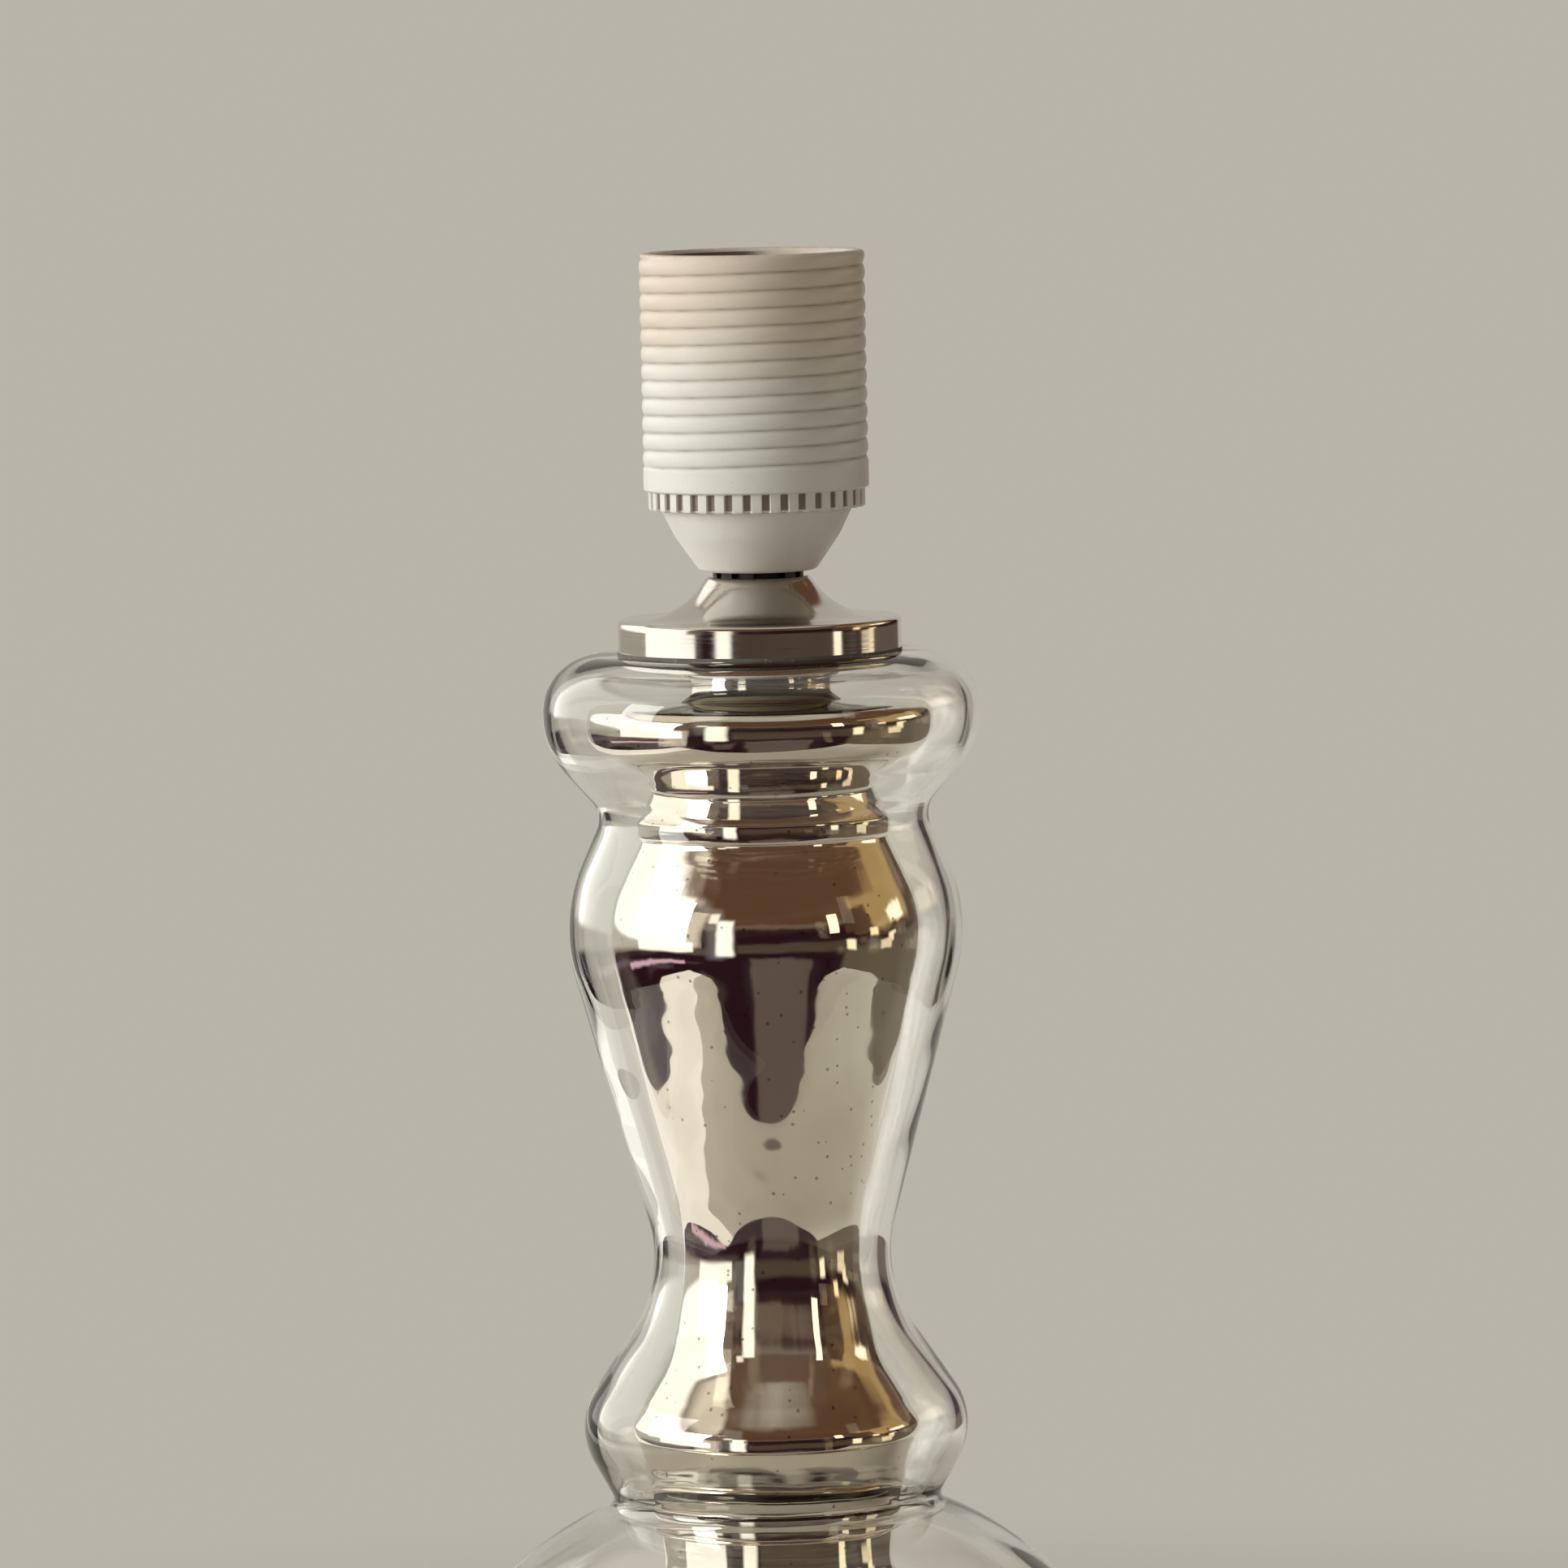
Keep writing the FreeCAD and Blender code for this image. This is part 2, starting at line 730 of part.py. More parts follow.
def lampholder_sleeve():
    """The threaded outer sleeve, with the lamp thread's own tube hung inside it from a ledge."""
    socket_outer = socket_bore_radius + socket_thread_depth + socket_wall
    relief_radius = sleeve_radius - sleeve_groove_depth - sleeve_relief_extra
    body = turned([
        (sleeve_bore_radius, sleeve_base),
        (grip_radius, sleeve_base, 0.4),
        (grip_radius, sleeve_base + grip_height, 0.3),
        (sleeve_radius, band_base),
        (sleeve_radius, band_top),
        (relief_radius, band_top),
        (relief_radius, band_top + sleeve_relief_width),
        (sleeve_radius, band_top + sleeve_relief_width),
        (sleeve_radius, holder_top, rim_edge_round),
        (sleeve_bore_radius, holder_top, rim_edge_round),
        (sleeve_bore_radius, socket_top),
        (socket_bore_radius, socket_top),
    ] + lamp_thread() + [
        (socket_bore_radius, socket_base),
        (socket_outer, socket_base),
        (socket_outer, socket_top - socket_ledge_thickness),
        (sleeve_bore_radius, socket_top - socket_ledge_thickness),
        (sleeve_bore_radius, snap_bead_base + snap_bead_height),
        (snap_bead_radius, snap_bead_base + snap_bead_height),
        (snap_bead_radius, snap_bead_base),
        (sleeve_bore_radius, snap_bead_base),
    ])
    notch = Part.makeCylinder(grip_notch_width / 2, grip_height + overcut,
                              FreeCAD.Vector(grip_radius + grip_notch_width / 2 - grip_notch_depth, 0, sleeve_base - overcut))
    slope = (sleeve_groove_width - sleeve_groove_floor) / (2 * sleeve_groove_depth)
    outer_groove = helical_cuts(sleeve_radius - sleeve_groove_depth, sleeve_radius + overcut, sleeve_groove_floor,
                               sleeve_groove_width + 2 * slope * overcut, sleeve_groove_pitch,
                               band_top + sleeve_relief_width / 2, holder_top + sleeve_groove_pitch, 1.0)
    body = body.cut(round_about(notch, grip_notch_count))
    return body.cut(outer_groove)


def contact_insert():
    """The moulded block that carries the contacts, held between the dome's neck and the sleeve's bead."""
    groove_radius = insert_radius - snap_depth
    groove_base = insert_base + insert_flange_thickness
    groove_top = snap_bead_base + snap_bead_height + insert_clearance
    chamber_radius = insert_radius - insert_wall
    top = socket_base - insert_clearance
    body = turned([
        (0, insert_base),
        (insert_radius, insert_base),
        (insert_radius, groove_base),
        (groove_radius, groove_base),
        (groove_radius, groove_top),
        (insert_radius, groove_top),
        (insert_radius, top, 0.4),
        (chamber_radius, top, 0.4),
        (chamber_radius, insert_floor),
        (0, insert_floor),
    ])
    neck = ring_cylinder(holder_top_radius - holder_wall, spigot_radius, insert_base - key_depth, insert_base)
    key = box_between((-insert_radius, -key_width / 2, insert_base - key_depth), (insert_radius, key_width / 2, insert_base))
    body = body.fuse(neck.common(key))
    pockets = []
    for side in (-1, 1):
        half_x = terminal_width / 2 + terminal_clearance
        half_y = terminal_depth / 2 + terminal_clearance
        pockets.append(box_between((side * foot_mid_x - half_x, -half_y, insert_base - overcut),
                                   (side * foot_mid_x + half_x, half_y, terminal_top)))
        pockets.append(Part.makeCylinder(rivet_radius, insert_floor_thickness + 2 * overcut,
                                         FreeCAD.Vector(side * foot_mid_x, 0, insert_base - overcut)))
    return body.cut(pockets).removeSplitter()


def strip(points, width):
    """A bent strip: an outline in the XZ plane, thickened to its right and drawn out along Y."""
    edges = outline_edges(points)
    far = outline_edges(inset(points, -strip_thickness))
    start, end = points[0], points[-1]
    moved = inset(points, -strip_thickness)
    caps = [Part.LineSegment(FreeCAD.Vector(end[0], 0, end[1]), FreeCAD.Vector(moved[-1][0], 0, moved[-1][1])).toShape(),
            Part.LineSegment(FreeCAD.Vector(moved[0][0], 0, moved[0][1]), FreeCAD.Vector(start[0], 0, start[1])).toShape()]
    face = Part.Face(Part.Wire(Part.__sortEdges__(edges + far + caps)))
    body = face.extrude(FreeCAD.Vector(0, width, 0))
    body.translate(FreeCAD.Vector(0, -width / 2, 0))
    return body


def foot_plate(side, width):
    """The flat end of a contact strip, riveted to the insert's floor."""
    plate = box_between((side * foot_mid_x - foot_length / 2, -width / 2, insert_floor),
                        (side * foot_mid_x + foot_length / 2, width / 2, insert_floor + strip_thickness))
    return plate.cut(Part.makeCylinder(rivet_radius, 2 * overcut + strip_thickness,
                                       FreeCAD.Vector(side * foot_mid_x, 0, insert_floor - overcut)))


def centre_contact_foot():
    return foot_plate(1, centre_width)


def centre_contact_tongue():
    low = insert_floor + strip_lift
    return strip([
        (centre_hinge_x - strip_gap, low),
        (centre_tip_x, low + centre_rise, 0.8),
        (centre_tip_x - centre_lip, low + centre_rise - centre_lip / 2),
    ], centre_width)


def side_contact_foot():
    return foot_plate(-1, side_width)


def side_contact_tongue():
    low = insert_floor + strip_lift
    hinge_x = -(centre_hinge_x + foot_length + side_hinge_gap)
    return strip([
        (hinge_x, low),
        (hinge_x - side_lean, low + side_rise),
    ], side_width)


def contact_rivets():
    bottom = terminal_top - rivet_depth
    rivet = turned([
        (0, bottom),
        (rivet_radius, bottom),
        (rivet_radius, insert_floor + strip_thickness),
        (rivet_head_radius, insert_floor + strip_thickness),
        (rivet_head_radius, insert_floor + strip_thickness + rivet_head, rivet_head / 2),
        (0, insert_floor + strip_thickness + rivet_head),
    ])
    pair = [rivet.copy(), rivet.copy()]
    for copy, side in zip(pair, (-1, 1)):
        copy.translate(FreeCAD.Vector(side * foot_mid_x, 0, 0))
    return Part.makeCompound(pair)


def terminal_screw_bar(radius, near, far, side):
    """A bar along Y on a terminal screw's line, between two distances in front of the wire hole's axis."""
    return Part.makeCylinder(radius, far - near, FreeCAD.Vector(side * foot_mid_x, -near, terminal_base + terminal_screw_height),
                             FreeCAD.Vector(0, -1, 0))


def terminal_blocks():
    blocks = []
    for side in (-1, 1):
        x = side * foot_mid_x
        block = box_between((x - terminal_width / 2, -terminal_depth / 2, terminal_base),
                            (x + terminal_width / 2, terminal_depth / 2, terminal_top))
        wire = Part.makeCylinder(wire_hole_radius, wire_hole_depth + overcut, FreeCAD.Vector(x, 0, terminal_base - overcut))
        rivet = Part.makeCylinder(rivet_radius, rivet_depth + overcut, FreeCAD.Vector(x, 0, terminal_top - rivet_depth))
        blocks.append(block.cut([wire, rivet, terminal_screw_bar(terminal_screw_radius, 0, terminal_depth, side)]))
    return Part.makeCompound(blocks)


def terminal_screws():
    screws = []
    for side in (-1, 1):
        face = terminal_depth / 2 + screw_head_gap
        shank = terminal_screw_bar(terminal_screw_radius, terminal_screw_reach, face, side)
        head = terminal_screw_bar(terminal_screw_head_radius, face, face + terminal_screw_head, side)
        x = side * foot_mid_x
        z = terminal_base + terminal_screw_height
        slot = box_between((x - terminal_screw_head_radius, -face - terminal_screw_head - overcut, z - terminal_screw_slot / 2),
                           (x + terminal_screw_head_radius, -face - terminal_screw_head / 2, z + terminal_screw_slot / 2))
        screws.append(shank.fuse(head).cut(slot))
    return Part.makeCompound(screws)


NODES = [
    felt_pad, base_cover, cover_screws, ballast_ring, base_pan, clamp_cup, cable_grommet, rim_gasket,
    glass_jacket, silvered_column, centring_bush, cap_seal, metal_cap,
    threaded_tube, bottom_washer, bottom_spring_washer, bottom_nut, toothed_washer,
    lampholder_dome, entry_bush, lock_grub_screw, lampholder_sleeve, contact_insert,
    centre_contact_foot, centre_contact_tongue, side_contact_foot, side_contact_tongue,
    contact_rivets, terminal_blocks, terminal_screws,
]


def main():
    os.makedirs("parts", exist_ok=True)
    for make in NODES:
        shape = make()
        shape.exportStep("parts/" + make.__name__ + ".step")
        print(make.__name__, shape.isValid(), len(shape.Solids), round(shape.Volume, 1))


if __name__ == "__main__":
    main()
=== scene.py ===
# %% [markdown]
# # A candlestick lamp of clear and silvered glass
# The lamp is a stack of turned pieces on one hollow tube: a spun foot, a clear glass jacket round a silvered
# glass column, a spun cap and a white screw lampholder. Nearly every piece that shows is round, so the lesson
# is about one idea, the outline: a few corners with roundings, swept round the lamp's axis with numpy.
# We start by loading the measured model, whose pieces stay the reference for size and place.

# %% Load the measured model
import math

import bmesh
import bpy
import numpy as np
from mathutils import Matrix, Vector


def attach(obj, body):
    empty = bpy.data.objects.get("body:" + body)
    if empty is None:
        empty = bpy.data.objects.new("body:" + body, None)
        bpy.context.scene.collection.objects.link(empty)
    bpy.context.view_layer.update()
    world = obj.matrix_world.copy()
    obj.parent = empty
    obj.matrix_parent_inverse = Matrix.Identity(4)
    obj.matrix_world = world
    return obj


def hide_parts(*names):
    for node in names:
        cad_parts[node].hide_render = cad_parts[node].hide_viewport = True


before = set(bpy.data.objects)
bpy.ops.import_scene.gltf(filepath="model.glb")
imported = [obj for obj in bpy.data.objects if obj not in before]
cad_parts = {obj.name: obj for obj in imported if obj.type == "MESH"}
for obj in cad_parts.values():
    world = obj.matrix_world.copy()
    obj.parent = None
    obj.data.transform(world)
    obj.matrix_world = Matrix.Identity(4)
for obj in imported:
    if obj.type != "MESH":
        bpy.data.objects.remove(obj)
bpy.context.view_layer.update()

# %% [markdown]
# ## The camera
# The photograph was taken from about two metres with a long lens, a little above the lamp, so verticals stay
# almost parallel. Its picture is 1932 pixels wide, and the lens is given as a focal length in those pixels.
# The lamp leans by a little over a degree in the picture, which is the camera's roll.

# %% Place the camera
picture_width = 1932
focal_pixels = 14570
camera_distance = 2.08
camera_elevation = math.radians(4.7)
camera_roll = math.radians(1.2)
aim = Vector((0.00375, 0.0, 0.1877))

camera_data = bpy.data.cameras.new("camera")
camera_data.sensor_width = 36.0
camera_data.lens = camera_data.sensor_width * focal_pixels / picture_width
camera_data.clip_start, camera_data.clip_end = 0.05, 40.0
camera = bpy.data.objects.new("camera", camera_data)
bpy.context.collection.objects.link(camera)
back = Vector((0.0, -math.cos(camera_elevation), math.sin(camera_elevation)))
turn = (-back).to_track_quat("-Z", "Y").to_matrix().to_4x4()
camera.matrix_world = Matrix.Translation(aim + back * camera_distance) @ turn @ Matrix.Rotation(-camera_roll, 4, "Z")
bpy.context.scene.camera = camera
print("lens", round(camera_data.lens, 1), "mm")

# %% [markdown]
# ## Outlines
# A turner draws a piece as half of its section. Here an outline is a list of corners in millimetres, each with
# a radius, a height and the rounding of that corner. Two functions are enough for the whole lamp: one rounds
# the corners into a smooth run of points, the other moves the outline sideways by the wall's thickness, so
# that the inside of a blown or spun piece follows its outside.

# %% Round the corners of an outline
def rounded(corners, step=0.5):
    """Points along an outline. A corner of rounding R is replaced by the arc that touches both sides at the
    distance R / tan(half the corner's angle); where two arcs would need more than the side between them, both
    are made smaller. Arcs are cut into steps of about the given length, straight runs into steps of at least
    2.5 times that."""
    tips = np.array([c[:2] for c in corners], float)
    side = np.linalg.norm(np.diff(tips, axis=0), axis=1)
    half, reach = np.full(len(corners), math.pi / 2), np.zeros(len(corners))
    for i in range(1, len(corners) - 1):
        a, b = tips[i - 1] - tips[i], tips[i + 1] - tips[i]
        half[i] = math.acos(np.clip(a @ b / (side[i - 1] * side[i]), -1, 1)) / 2
        if len(corners[i]) > 2 and 1e-3 < half[i] < math.pi / 2 - 1e-3:
            reach[i] = corners[i][2] / math.tan(half[i])
    need = (reach[:-1] + reach[1:]) / side
    share = 0.999 / np.maximum(need, 0.999)
    limit = np.minimum(np.append(share, 1), np.append(1, share))
    points = []
    for i, tip in enumerate(tips):
        if not reach[i]:
            points.append(tip)
            continue
        a, b = (tips[i - 1] - tip) / side[i - 1], (tips[i + 1] - tip) / side[i]
        radius = reach[i] * limit[i] * math.tan(half[i])
        middle = tip + (a + b) / np.linalg.norm(a + b) * radius / math.sin(half[i])
        start = tip + a * reach[i] * limit[i] - middle
        swing = (math.pi - 2 * half[i]) * np.sign(a[1] * b[0] - a[0] * b[1])
        turns = np.linspace(0, swing, max(4, int(radius * abs(swing) / step) + 1))
        points.extend(middle + np.stack([start[0] * np.cos(turns) - start[1] * np.sin(turns),
                                         start[0] * np.sin(turns) + start[1] * np.cos(turns)], axis=1))
    dense = [points[0]]
    for p, q in zip(points, points[1:]):
        count = max(1, int(np.linalg.norm(q - p) / (2.5 * step)))
        dense.extend(p + (q - p) * k / count for k in range(1, count + 1))
    return np.array(dense)


# %% [markdown]
# Glass blown into a mould and metal spun over a form have a wall of one thickness. So the inside isn't drawn:
# it's worked out from the outside.

# %% Offset an outline by a wall
def inset(corners, wall):
    """The outline moved to the left of its direction by the wall: each side keeps its own direction, the
    corners are where the moved sides meet, and each rounding keeps its centre as long as its radius allows."""
    p = np.array([c[:2] for c in corners], float)
    run = np.diff(p, axis=0)
    along = run / np.linalg.norm(run, axis=1, keepdims=True)
    moved = p[:-1] + wall * np.stack([-along[:, 1], along[:, 0]], axis=1)
    out = [tuple(moved[0])]
    for i in range(1, len(run)):
        cross = along[i - 1, 0] * along[i, 1] - along[i - 1, 1] * along[i, 0]
        gap = moved[i] - moved[i - 1]
        tip = moved[i - 1] + along[i - 1] * (gap[0] * along[i, 1] - gap[1] * along[i, 0]) / cross
        rounding = corners[i][2] if len(corners[i]) > 2 else 0
        if rounding:
            rounding = max(rounding - math.copysign(wall, cross), min(rounding, wall) / 2)
        out.append((tip[0], tip[1], rounding))
    out.append(tuple(moved[-1] + run[-1]))
    return out


def lifted(corners, height):
    """The same outline, raised by a height."""
    return [(c[0], c[1] + height) + tuple(c[2:]) for c in corners]


def wall_section(corners, wall, step=0.5):
    """The closed section of a wall: its outside upwards, then its inside down again."""
    return np.concatenate([rounded(corners, step), rounded(inset(corners, wall), step)[::-1]])


# %% [markdown]
# ## The lathe
# A lathe turns one section into a whole piece. Blender has a Screw modifier for this, but working the points
# out ourselves lets a formula move each one, which is how the threads, the ribs and the slight waviness of
# blown glass are made. Corners that stay sharp are marked, so that flat lands don't shade like balloons.

# %% Sweep a closed section round the axis
def swept(name, section, around=160, shape=None):
    """A closed surface of revolution. The point at step i of the section and turn t is (r cos t, r sin t, z),
    with r and z in millimetres brought to metres; shape(r, z, t), if given, returns the changed r and z. Edges
    over 40 degrees stay sharp."""
    t = np.linspace(0, 2 * math.pi, around, endpoint=False)[None, :]
    r, z = (np.broadcast_to(section[:, k][:, None], (len(section), around)) for k in (0, 1))
    if shape:
        r, z = shape(r, z, t)
    points = np.stack([r * np.cos(t), r * np.sin(t), z + 0 * t], axis=2).reshape(-1, 3) / 1000.0
    i, j = np.meshgrid(np.arange(len(section)), np.arange(around), indexing="ij")
    down, right = (i + 1) % len(section), (j + 1) % around
    faces = np.stack([i * around + j, i * around + right, down * around + right, down * around + j], axis=2)
    faces = faces.reshape(-1, 4)
    mesh = bpy.data.meshes.new(name)
    mesh.vertices.add(len(points))
    mesh.vertices.foreach_set("co", points.ravel())
    mesh.loops.add(faces.size)
    mesh.loops.foreach_set("vertex_index", faces.ravel().astype(np.int32))
    mesh.polygons.add(len(faces))
    mesh.polygons.foreach_set("loop_start", np.arange(0, faces.size, 4, dtype=np.int32))
    mesh.polygons.foreach_set("use_smooth", np.ones(len(faces), bool))
    mesh.update(calc_edges=True)
    mesh.validate()
    mesh.set_sharp_from_angle(angle=math.radians(40))
    piece = bpy.data.objects.new(name, mesh)
    bpy.context.collection.objects.link(piece)
    print(name, len(points), "points, radius up to", round(float(r.max()), 2), "mm")
    return piece


# %% [markdown]
# Some measured pieces already have every hole and notch that shows, such as the lampholder's dome. Their
# meshes are loose flat triangles, so the piece that is shown is a copy whose points are merged and whose round
# faces are shaded smooth.

# %% Take a smooth copy of a measured piece
def smooth_copy(node, body):
    """A copy of the node's mesh with points closer than two micrometres merged, edges over 30 degrees kept
    sharp, and normals weighted by face area so that flat faces stay flat."""
    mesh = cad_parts[node].data.copy()
    mesh.name = node + "_smooth"
    work = bmesh.new()
    work.from_mesh(mesh)
    bmesh.ops.remove_doubles(work, verts=work.verts, dist=2e-6)
    work.to_mesh(mesh)
    work.free()
    mesh.polygons.foreach_set("use_smooth", np.ones(len(mesh.polygons), bool))
    mesh.set_sharp_from_angle(angle=math.radians(30))
    mesh.materials.clear()
    piece = bpy.data.objects.new(node + "_smooth", mesh)
    bpy.context.collection.objects.link(piece)
    weigh = piece.modifiers.new("even normals", "WEIGHTED_NORMAL")
    weigh.keep_sharp = True
    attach(piece, body)
    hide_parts(node)
    print(piece.name, len(mesh.vertices), "points")
    return piece


# %% [markdown]
# ## Heights
# All pieces stand on each other, so a few levels fix the rest: the glass stands on its rubber ring 15 mm above
# the table, the cap on the glass shoulder, and the lampholder on the cap.

# %% Name the levels, in millimetres above the table
glass_level = 15.0
jacket_height, seal_height, cap_height, washer_height = 196.1, 0.6, 12.8, 1.0
shoulder_level = glass_level + jacket_height
cap_level = shoulder_level + seal_height
holder_level = cap_level + cap_height + washer_height
sleeve_level = holder_level + 11.0
rim_level = holder_level + 56.0
print("glass", glass_level, "cap", cap_level, "holder", holder_level, "rim", rim_level)

# %% [markdown]
# ## The clear glass jacket
# The jacket is blown into a mould, so its outside is a soft copy of a turned baluster and its wall is a little
# uneven. It is a real shell here, with both surfaces, because the dark lines along a glass edge come from
# light bending twice. The unevenness is a slow ripple of a few hundredths of a millimetre.

# %% Build the jacket
jacket_corners = lifted([
    (70.0, 0), (70.0, 3.0, 1.3), (65.0, 6.2, 5.0), (54.3, 34.6, 62.0), (28.1, 45.9, 1.8), (36.0, 60.2, 12.5),
    (18.8, 85.2, 24.0), (36.5, 149.4, 30.0), (28.2, 168.2, 5.0), (38.4, 179.7, 15.0),
    (38.4, jacket_height, 10.0), (15.0, jacket_height),
], glass_level)


def blown(r, z, t):
    """Adds to the radius a sum of three slow waves in the turn and the height, each of 0.03 to 0.06 mm, which
    fade out towards the mouth and the foot."""
    wave = 0.06 * np.sin(2 * t + z / 31) + 0.04 * np.sin(3 * t - z / 17 + 1.3) + 0.03 * np.sin(5 * t + z / 9 + 0.4)
    return r + wave * np.clip((r - 15) / 6, 0, 1) * np.clip((69.5 - r) / 4, 0, 1), z


jacket = swept("jacket_glass", wall_section(jacket_corners, 2.4, 0.8), 160, blown)
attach(jacket, "stand")
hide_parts("glass_jacket")

# %% [markdown]
# ## The silvered column
# The inner column repeats the jacket's turns with crisper rings. It is glass silvered on its inside, so it
# looks like a mirror under a thin clear skin. A hand-blown mirror is never true: ripples of four hundredths
# of a millimetre and less are enough to make every reflected edge wander.

# %% Build the column
column_corners = lifted([
    (52.0, 0), (52.0, 3.0, 6.0), (43.5, 27.5, 36.0), (20.3, 33.0, 2.0), (20.3, 40.1), (21.7, 40.6, 0.5),
    (21.7, 47.1, 0.4), (24.7, 57.2), (25.4, 57.6, 0.3), (25.3, 60.2, 3.0), (18.3, 71.0, 15.0), (14.5, 90.8, 41.0),
    (28.6, 148.5, 21.0), (21.8, 162.8, 6.0), (21.7, 163.4, 0.3), (22.3, 164.0, 1.0), (22.3, 167.4, 1.4),
    (19.3, 172.9, 0.9), (30.4, 179.5, 6.5), (30.4, 187.1, 2.6), (12.5, 188.8, 3.5), (12.5, 197.3),
], glass_level)


def hand_blown(r, z, t):
    """Adds to the radius three waves of 0.004 to 0.04 mm whose crests run slantwise, so that reflections
    wander, and which fade out at both ends."""
    wave = 0.04 * np.sin(2 * t + z / 14) + 0.012 * np.sin(5 * t - z / 8 + 2.1) + 0.004 * np.sin(9 * t + z / 5 + 0.7)
    return r + wave * np.clip((r - 13) / 4, 0, 1) * np.clip((51.5 - r) / 4, 0, 1), z


column = swept("silvered_glass", wall_section(column_corners, 2.0, 0.6), 176, hand_blown)
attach(column, "stand")
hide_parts("silvered_column")

# %% [markdown]
# ## The spun cap
# The cap is sheet metal, spun over a form and plated. It keeps a plain band and a trumpet-shaped top, and the
# spinner's tool leaves rings too fine to model, which the finish adds.

# %% Build the cap
cap_corners = lifted([
    (25.0, 0), (25.0, 5.4, 0.7), (14.0, 5.8, 13.5), (9.0, 12.8, 0.7), (5.15, 12.8),
], cap_level)
cap = swept("spun_cap", wall_section(cap_corners, 0.8, 0.3), 160)
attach(cap, "stand")
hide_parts("metal_cap")

# %% [markdown]
# ## The lampholder's sleeve
# The sleeve carries two threads: the one outside takes a shade ring, the one inside takes the lamp. Both are
# grooves cut by a wave of the height divided by the pitch, minus the turn, so that a groove climbs by one
# pitch per turn. They fade out at their ends.

# %% The thread formulas
grip_crest, grip_height, grip_notches, notch_depth = 19.05, 3.2, 36, 0.8
shade_crest, shade_pitch, shade_depth, shade_power = 19.8, 3.05, 0.5, 0.28
lamp_crest, lamp_pitch, lamp_depth = 12.2, 3.63, 1.1
band_level = sleeve_level + 3.575
thread_level = band_level + 4.0
socket_top, socket_foot = rim_level - 6.5, rim_level - 28.5


def ridge(phase, sharpness):
    """A ridge of height 1 and a groove of height 0 once per turn: the wave (1 + cos) / 2 raised to a power,
    which below 1 makes the ridge wide and the groove narrow."""
    return (0.5 + 0.5 * np.cos(2 * math.pi * phase)) ** sharpness


def threaded(r, z, t):
    """Outside, the radius is cut by 0.5 mm times 1 minus the ridge of (z / pitch - turn / full turn), from
    4 mm above the grip ring's bevel up to the rim. The grip ring has 36 notches, where |sin(18 t)| is over
    0.75. The lamp thread's groove is 1.1 mm deep, where the same kind of wave is over 0."""
    around = t / (2 * math.pi)
    outside = (r > shade_crest - 0.5) & (z > thread_level - 0.3)
    fade = np.clip((z - thread_level + 0.3) / 0.6, 0, 1) * np.clip((rim_level + 0.2 - z) / 0.8, 0, 1)
    cut = shade_depth * (1 - ridge(z / shade_pitch - around, shade_power)) * fade * outside
    notched = (r > grip_crest - 0.75) & (z < sleeve_level + grip_height + 0.05)
    notch = notch_depth * np.clip(6 * (np.abs(np.sin(grip_notches / 2 * t)) - 0.75), 0, 1)
    in_tube = (np.abs(r - lamp_crest) < 0.02) & (z < socket_top - 0.1)
    groove = lamp_depth * np.clip(1.4 * np.cos(2 * math.pi * (z / lamp_pitch - around)), 0, 1)
    groove = groove * np.clip((socket_top - z) / 2, 0, 1) * np.clip((z - socket_foot) / 2, 0, 1)
    return r - cut - notch * notched + groove * in_tube, z + 0 * t


# %% [markdown]
# The sleeve's section is put together from five runs, because the two threads need closer rows than the
# rest. It goes up the outside, over the rim, down the lamp's tube and back up behind it.

# %% Build the sleeve
foot_of_sleeve = rounded([(17.4, sleeve_level), (grip_crest, sleeve_level, 0.4),
                          (grip_crest, sleeve_level + grip_height, 0.3), (shade_crest, band_level, 0.2),
                          (shade_crest, thread_level - 0.6)], 0.25)
rows = np.arange(thread_level - 0.4, rim_level - 1.0, 0.2)
thread = np.stack([np.full(len(rows), shade_crest), rows], axis=1)
mouth = rounded([(shade_crest, rim_level - 0.9), (shade_crest, rim_level, 0.8), (17.4, rim_level, 0.9),
                 (17.4, socket_top, 0.6), (lamp_crest, socket_top)], 0.3)
socket = rounded([(lamp_crest, socket_top - 0.4), (lamp_crest, socket_foot)], 0.17)
inside = rounded([(12.3, socket_foot), (14.6, socket_foot, 0.4), (14.6, rim_level - 8.1, 0.6),
                  (17.4, rim_level - 8.1, 0.6), (17.4, sleeve_level + 10.1), (16.8, sleeve_level + 10.1),
                  (16.8, sleeve_level + 8.7), (17.4, sleeve_level + 8.7)], 0.8)
sleeve = swept("threaded_sleeve", np.concatenate([foot_of_sleeve, thread, mouth, socket, inside]), 288, threaded)
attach(sleeve, "sleeve")
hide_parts("lampholder_sleeve")

# %% [markdown]
# ## The dome, the foot and the small turned pieces
# The dome has a hole for its grub screw and the foot pan one for the cable, so they are smooth copies of the
# measured pieces.

# %% Copy the measured pieces that show
dome = smooth_copy("lampholder_dome", "stand")
pan = smooth_copy("base_pan", "stand")
inlet = smooth_copy("cable_grommet", "stand")
block = smooth_copy("contact_insert", "insert")

# %% [markdown]
# ## Finishes
# A real finish is never one colour: it has a slow unevenness, a fine grain, the marks of its making and some
# dust. Each of those is a node group with its own numbers, placed in every material that needs it. The groups
# read Object coordinates, so that a pattern stays on the piece when it moves.

# %% A small helper for shader groups
def new_group(name, inputs, outputs):
    """A shader node group with number inputs, each with a default value, and number outputs."""
    made = bpy.data.node_groups.new(name, "ShaderNodeTree")
    for label, value in inputs.items():
        made.interface.new_socket(label, in_out="INPUT", socket_type="NodeSocketFloat").default_value = value
    for label in outputs:
        made.interface.new_socket(label, in_out="OUTPUT", socket_type="NodeSocketFloat")
    return made, made.nodes.new("NodeGroupInput"), made.nodes.new("NodeGroupOutput")


